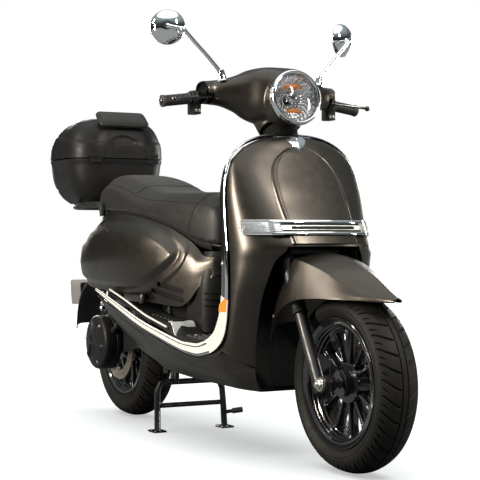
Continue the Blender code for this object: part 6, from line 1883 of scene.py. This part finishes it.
# ---- hub motor, shock absorbers, cables and fasteners ----
def motor():
    """The cast cover of the hub motor: a rounded rim, a stepped face and ribs that run to its middle."""
    centre = vec(-0.632, -0.1125, 0.262)
    outline = [(0, 0.076), (0.016, 0.0765), (0.022, 0.074), (0.03, 0.072), (0.052, 0.07), (0.066, 0.068),
               (0.074, 0.066), (0.079, 0.0645), (0.0845, 0.062), (0.0892, 0.057), (0.091, 0.048),
               (0.091, 0.03), (0.0885, 0.027), (0.0885, 0.023), (0.091, 0.02), (0.091, 0.007),
               (0.0845, 0.001), (0, 0.001)]

    def ribs(radius, height, angle):
        if height < 0.06 or radius > 0.078:
            return radius, height
        spoke = abs(sin(angle * 1.5 + 0.4))
        blade = smoothstep(0.62, 0.86, 1 - spoke) * smoothstep(0.078, 0.062, radius)
        return radius, height + 0.0065 * blade * smoothstep(0.0, 0.018, radius)

    cover = turned_mesh(curve_of(outline, 5, (7, 11, 12, 13, 14, 16)), centre, (0, -1, 0), 240,
                        closed=False, shape=ribs)
    piece("motor_cover", cover, "swingarm", CASE_BLACK, 30, "cast_alloy", "motor_housing")
    bolts = [bolt_mesh(centre + vec(0.07 * cos(a), -0.0655, 0.07 * sin(a)), (0, -1, 0), 0.0046, 0.0042)
             for a in (radians(d) for d in (52, 172, 292))]
    piece("motor_bolts", merged(*bolts), "swingarm", BOLT, 35)
    gland = centre + vec(0.078, -0.03, 0.042)
    away = vec(0.8, 0.0, 0.6)
    boss = turned_mesh([(0, 0.02), (0.007, 0.02), (0.0082, 0.016), (0.0082, 0.01), (0.0115, 0.009),
                        (0.012, -0.004), (0, -0.004)], gland, away, 40, closed=False)
    piece("motor_gland", boss, "swingarm", PANEL_BLACK, 35)
    path = spline([gland + away * 0.015, (-0.512, -0.142, 0.338), (-0.48, -0.136, 0.352),
                   (-0.44, -0.131, 0.345), (-0.405, -0.129, 0.315), (-0.378, -0.1275, 0.2985)], 10)
    piece("motor_lead", tube_mesh(path, 0.0058, 16), "swingarm", GRIP, 0, "rubber")
    arm = loft_mesh([[vec(x, y, z) for x, z in ((-0.7, 0.205), (-0.64, 0.168), (-0.56, 0.17), (-0.556, 0.182),
                                                (-0.632, 0.182), (-0.688, 0.216))]
                     for y in (-0.12, -0.1145)])
    rounded(piece("torque_arm", arm, "swingarm", ALLOY, 40, "cast_alloy"), 0.0012, 3)
    ends = [bolt_mesh(vec(x, -0.12, z), (0, -1, 0), 0.0052, 0.0045)
            for x, z in ((-0.568, 0.176), (-0.68, 0.205))]
    piece("torque_bolts", merged(*ends), "swingarm", BOLT, 35)


motor()

SHOCK_TOP, SHOCK_FOOT = vec(-0.59, 0, 0.6), vec(-0.625, 0, 0.378)
SHOCK_LINE = (SHOCK_TOP - SHOCK_FOOT).normalized()


def shock(name, side):
    """A chrome coil between its seats; the CAD keeps the tube and rod inside it."""
    top = mirrored(SHOCK_TOP + vec(0, 0.136, 0), side)
    foot = mirrored(SHOCK_FOOT + vec(0, 0.136, 0), side)
    lower_seat, upper_seat, coil_radius, wire = 0.0225, 0.0245, 0.0192, 0.0027
    start, length = foot + SHOCK_LINE * lower_seat, (top - foot).length - lower_seat - upper_seat
    across = SHOCK_LINE.cross(vec(0, 1, 0)).normalized()
    turns, per = 6.0, 40
    coil = []
    for k in range(int(turns * per) + 1):
        a = 2 * pi * k / per
        u = k / (turns * per)
        coil.append(start + SHOCK_LINE * (length * u) + (across * cos(a) + vec(0, 1, 0) * sin(a))
                    * coil_radius)
    spring = piece("coil_" + name, tube_mesh(coil, wire, 12), "shock_upper", CHROME, 0, "chrome",
                   "shock_spring_" + name)
    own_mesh(spring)
    cup = turned_mesh(curve_of([(0.007, 0.004), (0.0225, 0.004), (0.024, 0.0025), (0.024, -0.0025),
                                (0.0225, -0.004), (0.007, -0.004)], 2, (1, 4)),
                      top - SHOCK_LINE * 0.0215, SHOCK_LINE, 48)
    piece("spring_cup_" + name, cup, "shock_upper", CHROME, 35, "chrome")
    for label, at, body in (("top", top, "chassis"), ("foot", foot, "swingarm")):
        cap = turned_mesh([(0, 0.005), (0.0055, 0.005), (0.007, 0.0038), (0.007, 0.001), (0.01, 0.0008),
                           (0.01, 0.0), (0, 0.0)], at + vec(0, 0.02 * side, 0), (0, side, 0), 36,
                          closed=False)
        piece(f"shock_nut_{label}_{name}", cap, body, CHROME, 35, "chrome")


def axle_nuts():
    """A washer, nut and stud at each end of both axles."""
    for label, axle, y, body in (("front_right", FRONT_AXLE, -0.104, "fork"),
                                 ("front_left", FRONT_AXLE, 0.104, "fork"),
                                 ("rear_right", REAR_AXLE, -0.1125, "swingarm"),
                                 ("rear_left", REAR_AXLE, 0.1185, "swingarm")):
        side = 1 if y > 0 else -1
        at = vec(axle.x, y, axle.z)
        washer = turned_mesh([(0, 0.0022), (0.017, 0.0022), (0.0178, 0.0014), (0.0178, 0.0), (0, 0.0)], at,
                             (0, side, 0), 48, closed=False)
        nut = turned_mesh([(0, 0.0105), (0.0115, 0.0105), (0.0135, 0.009), (0.0135, 0.0022), (0, 0.0022)], at,
                          (0, side, 0), 6, closed=False)
        stud = turned_mesh([(0, 0.015), (0.0062, 0.015), (0.0072, 0.014), (0.0072, 0.01), (0, 0.01)], at,
                           (0, side, 0), 28, closed=False)
        made = piece("axle_nut_" + label, merged(washer, nut, stud), body, BOLT, 30)
        rounded(made, 0.0006)


def fork_details():
    """Dust seals over the sliders' tops, pinch bolts at the axle, the speed sensor and the caliper's hose."""
    for name, side in SIDES.items():
        y = 0.09 * side
        seal = turned_mesh(curve_of([(0.017, 0.0), (0.0205, 0.0005), (0.0215, 0.003), (0.021, 0.0075),
                                     (0.02, 0.009), (0.017, 0.0095)], 2, (1, 4)), steer(-0.664, 0.01, y),
                           steer(1) - steer(0), 48)
        piece("fork_seal_" + name, seal, "steering", DARK, 35)
        ears = []
        for k in (0, 1):
            at = FRONT_AXLE + vec(-0.026, y, 0.01 - 0.018 * k)
            ears.append(bolt_mesh(at, (-0.9, 0.0, -0.35), 0.0046, 0.005))
        lug = block_mesh((FRONT_AXLE.x - 0.034, y - 0.01, FRONT_AXLE.z - 0.016),
                         (FRONT_AXLE.x - 0.012, y + 0.01, FRONT_AXLE.z + 0.016))
        rounded(piece("pinch_lug_" + name, lug, "fork", DARK_ALLOY, 40, "cast_alloy"), 0.004, 4)
        piece("pinch_bolts_" + name, merged(*ears), "fork", BOLT, 35)
    boss = turned_mesh(curve_of([(0, 0.016), (0.012, 0.0155), (0.018, 0.012), (0.02, 0.004), (0.02, 0)], 3),
                       FRONT_AXLE + vec(0, -0.0735, 0), (0, 1, 0), 48, closed=False)
    piece("speed_sensor", boss, "fork", DARK_ALLOY, 40)
    path = spline([FRONT_AXLE + vec(-0.006, 0.086, 0.088), FRONT_AXLE + vec(-0.026, 0.112, 0.106),
                   steer(-0.746, -0.004, 0.115), steer(-0.736, -0.022, 0.108),
                   steer(-0.731, -0.028, 0.095)], 10)
    piece("front_brake_hose", tube_mesh(path, 0.0036, 12), "fork", GRIP, 0, "rubber")


def caliper_details():
    """Bolts and ribs on both calipers."""
    for end, axle, side, angle, body in (("front", FRONT_AXLE, 1, radians(38), "fork"),
                                         ("rear", REAR_AXLE, -1, radians(128), "swingarm")):
        turn = Matrix.Rotation(angle - pi / 2, 4, "Y")
        outer = 0.073 if end == "front" else 0.0917
        bolts = []
        for x in (-0.018, 0.018):
            spot = axle + turn @ vec(x, outer * side, 0.108)
            bolts.append(bolt_mesh(spot, (0, side, 0), 0.0045, 0.0045))
        piece(end + "_caliper_bolts", merged(*bolts), body, BOLT, 35)
        ribs = []
        for k in (-1, 0, 1):
            a = axle + turn @ vec(k * 0.0135 - 0.004, (outer - 0.012) * side, 0.1195)
            b = axle + turn @ vec(k * 0.0135 + 0.004, outer * side, 0.1215)
            ribs.append(tube_mesh([a, b], 0.0034, 10))
        piece(end + "_caliper_fins", merged(*ribs), body, GLOSS, 40)


def cables():
    """Hoses and looms that leave the bar for the neck, and the looms under the floor."""
    for name, side in SIDES.items():
        path = spline([mirrored(p, side)
                       for p in ((0.244, 0.17, 1.006), (0.255, 0.12, 1.0), (0.262, 0.07, 0.988),
                                 (0.268, 0.04, 0.96), (0.276, 0.026, 0.925),
                                 (0.29, 0.02, 0.898))], 10)
        piece("brake_hose_" + name, tube_mesh(path, 0.0034, 12), "steering", GRIP, 0, "rubber")
    for k, y in enumerate((-0.07, 0.05)):
        path = spline([(0.25, y, 0.242), (0.1, y * 1.05, 0.246), (-0.08, y, 0.25), (-0.2, y * 0.9, 0.26),
                       (-0.3, y, 0.276)], 10)
        piece(f"floor_loom_{k}", tube_mesh(path, 0.0065, 14), "chassis", GRIP, 0, "rubber")


def details_on_body():
    """Screws of the floor and trim, the bag hook, the key switch and the glovebox door."""
    spots = [(0.3, s * 0.15, 0.3245) for s in (-1, 1)] + [(0.075, s * 0.15, 0.3255) for s in (-1, 1)]
    piece("floor_screws", merged(*[bolt_mesh(Vector(p), (0, 0, 1), 0.006, 0.004) for p in spots]),
          "chassis", BOLT, 35)
    for name, side in SIDES.items():
        screw = bolt_mesh(vec(0.375, 0.2222 * side, 0.545), (0, side, 0), 0.0046, 0.0022)
        piece("trim_screw_" + name, screw, "chassis", BOLT, 35)
    hook = spline([(0.303, 0, 0.66), (0.28, 0, 0.656), (0.266, 0, 0.64), (0.268, 0, 0.62),
                   (0.284, 0, 0.614)], 8)
    piece("bag_hook", tube_mesh(hook, [0.005] * 28 + [0.0046, 0.0042, 0.0036, 0.0028, 0.0016], 16),
          "chassis", CHROME, 0, "chrome")
    plate = turned_mesh([(0, 0.003), (0.012, 0.003), (0.014, 0.001), (0.014, -0.002), (0, -0.002)],
                        vec(0.306, 0, 0.661), (-1, 0, 0.1), 40, closed=False)
    piece("hook_base", plate, "chassis", PANEL_BLACK, 40)
    key = turned_mesh(curve_of([(0, 0.0015), (0.009, 0.002), (0.012, 0.0045), (0.015, 0.006),
                                (0.0175, 0.0035), (0.018, -0.002)], 3), vec(0.2935, -0.075, 0.77),
                      (-1, 0, 0.12), 64, closed=False)
    piece("key_switch", key, "chassis", CHROME, 40, "chrome")
    # Near-black block for the keyway: painted shade standing in for the hole.
    slot = block_mesh((0.2885, -0.0765, 0.764), (0.2912, -0.0735, 0.776))
    piece("keyway_shade", slot, "chassis", DARK, 40)
    lid = []
    for k in range(9):
        z = 0.48 + 0.15 * k / 8
        centre_x = lerp([(0.334, 0.33), (0.47, 0.33), (0.57, 0.324), (0.67, 0.312)], z)
        lid.append([vec(centre_x - 0.0062 - 0.0015 * sin(pi * k / 8), y, z) for y in
                    (0.0, 0.03, 0.06, 0.09, 0.11, 0.122)])
    shell("glovebox_door",
          both([[p + vec(0.024 * (p.y / 0.122) ** 3, 0, 0) for p in row] for row in refine(lid, 2, 3)]),
          "chassis", PANEL_BLACK, thickness=0.003, edge=0.001)
    knob = turned_mesh([(0, 0.004), (0.008, 0.004), (0.01, 0.002), (0.01, -0.002), (0, -0.002)],
                       vec(0.3175, 0, 0.6), (-1, 0, 0.1), 36, closed=False)
    piece("glovebox_lock", knob, "chassis", CHROME, 40, "chrome")


def stand_details():
    """The stand's return springs, rubber toe pads and pedal cover."""
    for name, side in SIDES.items():
        start, end = vec(-0.262, 0.072 * side, 0.166), vec(-0.25, 0.072 * side, 0.19)
        coil = [start.lerp(end, k / 96) + vec(cos(k * 0.785) * 0.0052, sin(k * 0.785) * 0.0052, 0)
                for k in range(97)]
        piece("stand_spring_" + name, tube_mesh(coil, 0.0011, 6), "centre_stand", BOLT, 0)
        pad = block_mesh((-0.284, 0.0995 * side, 0.0005), (-0.23, 0.1425 * side, 0.0055))
        rounded(piece("stand_toe_" + name, pad, "centre_stand", STAND_BLACK, 40, "gloss_black_alloy"),
                0.002, 3)
    along = (vec(-0.24, 0.178, 0.056) - vec(-0.26, 0.11, 0.048)).normalized()
    at = vec(-0.24, 0.178, 0.056)
    tread = [turned_mesh([(0, 0.0022), (0.0088, 0.0022), (0.0094, 0.0014), (0.0094, -0.0014),
                          (0.0088, -0.0022), (0, -0.0022)],
                         at - along * (0.003 + 0.0058 * k), along, 28, closed=False) for k in range(6)]
    piece("pedal_rubber", merged(*tread), "centre_stand", GRIP, 40, "rubber")


for side_name, side_sign in SIDES.items():
    shock(side_name, side_sign)
axle_nuts()
fork_details()
caliper_details()
cables()
details_on_body()
stand_details()


# ---- carried-over CAD nodes: softened edges and procedural finishes ----
FINISHES = [
    (FRAME_BLACK, "main_frame swingarm fork_upper"),
    (PANEL_BLACK, "rear_rack battery_pack seat_base handlebar inner_leg_shield rear_mudguard battery_cover "
     "motor_housing"),
    (DARK, "wheel_well_liner under_seat_bucket start_button horn_button"),
    (STAND_BLACK, "centre_stand side_stand brake_lever_right brake_lever_left"),
    (GLOSS, "rear_caliper front_caliper"),
    (DARK_ALLOY, "fork_slider_right fork_slider_left footpeg_right footpeg_left shock_upper_right "
     "shock_upper_left"),
    (ALLOY, "shock_lower_right shock_lower_left"),
    (CHROME, "mirror_stem_right mirror_stem_left headlight_bezel shield_trim indicator_bar "
     "mirror_head_right mirror_head_left shock_spring_right shock_spring_left"),
    (PAINT, "front_shield nose_panel side_cowl_right side_cowl_left tail_panel belly_fairing "
     "front_mudguard headset_cover"),
    (CASE_BLACK, "case_base case_lid"),
    (VINYL, "case_pad seat_cushion"),
    (LENS, "headlight_lens"),
    (MAT, "floorboard"),
    (GRIP, "left_grip throttle_grip"),
]
FINISH_OF = {name: material for material, names in FINISHES for name in names.split()}
for name, node in NODES.items():
    node.data.materials.clear()
    node.data.materials.append(FINISH_OF.get(name, PANEL_BLACK))
    if node.hide_render:
        continue
    for polygon in node.data.polygons:
        polygon.use_smooth = True
    weld = node.modifiers.new("weld", "WELD")
    weld.merge_threshold = 0.00002
    rounded(node, 0.0009)

# ---- stage, lights and camera ----
CAMERA_AT = vec(3.7711, -2.0194, 0.6167)
VIEW_TURN, VIEW_DROP = radians(28.61), radians(-0.108)


def two_looks(tree, bounced, seen, output):
    """One shader for the camera and another for the light that bounces."""
    path = tree.nodes.new("ShaderNodeLightPath")
    mix = tree.nodes.new("ShaderNodeMixShader")
    tree.links.new(path.outputs["Is Camera Ray"], mix.inputs[0])
    tree.links.new(bounced.outputs[0], mix.inputs[1])
    tree.links.new(seen.outputs[0], mix.inputs[2])
    tree.links.new(mix.outputs[0], tree.nodes[output].inputs["Surface"])


def darker_in_bounces(surface):
    """A floor that looks pale but throws less light back up, as one far from the lights would."""
    tree = surface.node_tree
    dim = tree.nodes.new("ShaderNodeBsdfDiffuse")
    dim.inputs["Color"].default_value = (0.4, 0.395, 0.385, 1)
    two_looks(tree, dim, tree.nodes["Principled BSDF"], "Material Output")


FLOOR_LEFT_OUT = bpy.data.collections.new("floor_left_out")


def stage():
    """A pale floor, far wider than the view."""
    rings = [(r, 0.0) for r in (0.0, 0.5, 1.5, 3.0, 6.0, 12.0, 30.0)]
    mesh = turned_mesh(rings, SHIFT, (0, 0, 1), 96, closed=False)
    mesh.flip_normals()
    floor = added("pale_floor", mesh)
    for polygon in mesh.polygons:
        polygon.use_smooth = True
    surface = finish("pale_floor", (0.97, 0.97, 0.965), 0.75, vary=0.012, patch=0.8, bump=0.02,
                     Specular_IOR_Level=0.15, Emission_Color=(1, 1, 1, 1), Emission_Strength=0.47)
    mesh.materials.append(surface)
    darker_in_bounces(surface)
    floor.location.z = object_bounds()[0].z - 0.0005
    floor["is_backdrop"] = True
    FLOOR_LEFT_OUT.objects.link(floor)
    FLOOR_LEFT_OUT.collection_objects[0].light_linking.link_state = "EXCLUDE"


def aimed(name, data, along, axis):
    """A light or camera turned so that its own axis points along a direction."""
    obj = added(name, data)
    obj.rotation_mode = "QUATERNION"
    obj.rotation_quaternion = along.to_track_quat(axis, "Y")
    return obj


def around(name, bearing, distance, height, size, power, color):
    """An upright softbox at a bearing clockwise from straight ahead, aimed at the body."""
    turn = radians(bearing)
    target = vec(0.2, 0, 0.65)
    at = vec(target.x + distance * cos(turn), -distance * sin(turn), height)
    data = bpy.data.lights.new(name, "AREA")
    data.shape = "RECTANGLE"
    data.size, data.size_y = size
    data.energy = power
    data.color = color
    box = aimed(name, data, target - at, "-Z")
    box.location = at + SHIFT
    box.light_linking.receiver_collection = FLOOR_LEFT_OUT


def sky_light(name, toward, strength, spread):
    """Even light from above, as from a wide white ceiling."""
    data = bpy.data.lights.new(name, "SUN")
    data.energy = strength
    data.angle = radians(spread)
    aimed(name, data, Vector(toward), "Z")


SKY = [(0.0, (0.06, 0.058, 0.055)), (0.47, (0.03, 0.03, 0.03)), (0.53, (0.018, 0.018, 0.018)),
       (0.66, (0.06, 0.07, 0.072)), (0.8, (0.3, 0.35, 0.36)), (1.0, (0.52, 0.58, 0.59))]


def world():
    """White for the camera, and for the reflections a dark room under a pale blue-green skylight."""
    made = bpy.data.worlds.new("studio")
    made.use_nodes = True
    tree = made.node_tree
    place = tree.nodes.new("ShaderNodeTexCoord")
    split = tree.nodes.new("ShaderNodeSeparateXYZ")
    tree.links.new(place.outputs["Generated"], split.inputs[0])
    height = tree.nodes.new("ShaderNodeMapRange")
    height.inputs["From Min"].default_value = -1
    tree.links.new(split.outputs["Z"], height.inputs["Value"])
    ramp = tree.nodes.new("ShaderNodeValToRGB")
    tree.links.new(height.outputs["Result"], ramp.inputs["Fac"])
    stops = ramp.color_ramp.elements
    while len(stops) < len(SKY):
        stops.new(0.5)
    for stop, (at, _) in zip(stops, SKY):
        stop.position = at
    for stop, (_, color) in zip(stops, SKY):
        stop.color = (*color, 1)
    room = tree.nodes["Background"]
    tree.links.new(ramp.outputs["Color"], room.inputs["Color"])
    backdrop = tree.nodes.new("ShaderNodeBackground")
    backdrop.inputs["Color"].default_value = (1.0, 1.0, 1.0, 1)
    two_looks(tree, room, backdrop, "World Output")
    bpy.context.scene.world = made
    bpy.context.scene.view_settings.view_transform = "Standard"


def camera():
    """A long lens, from ahead and to the rider's right."""
    data = bpy.data.cameras.new("camera")
    data.lens = 105.2
    data.sensor_width = 36
    look = vec(-cos(VIEW_TURN), sin(VIEW_TURN), tan(VIEW_DROP))
    obj = aimed("camera", data, look, "-Z")
    obj.location = CAMERA_AT + SHIFT
    bpy.context.scene.camera = obj


stage()
world()
camera()
around("side_strip", 98, 3.1, 1.35, (0.2, 1.2), 190, (1.0, 0.91, 0.8))
around("front_strip", -14, 2.8, 2.8, (0.3, 1.0), 150, (1.0, 0.92, 0.82))
around("high_strip", 120, 3.1, 2.6, (0.26, 1.0), 40, (1.0, 0.91, 0.8))
around("far_strip", -58, 3.2, 1.15, (0.2, 1.2), 30, (1.0, 0.95, 0.88))
around("tail_strip", 186, 3.3, 1.3, (0.5, 1.2), 40, (1.0, 0.95, 0.88))
around("back_strip", -120, 3.3, 1.2, (0.9, 1.4), 50, (1.0, 0.96, 0.92))
sky_light("overcast", (0.08, -0.08, 1.0), 1.75, 80)
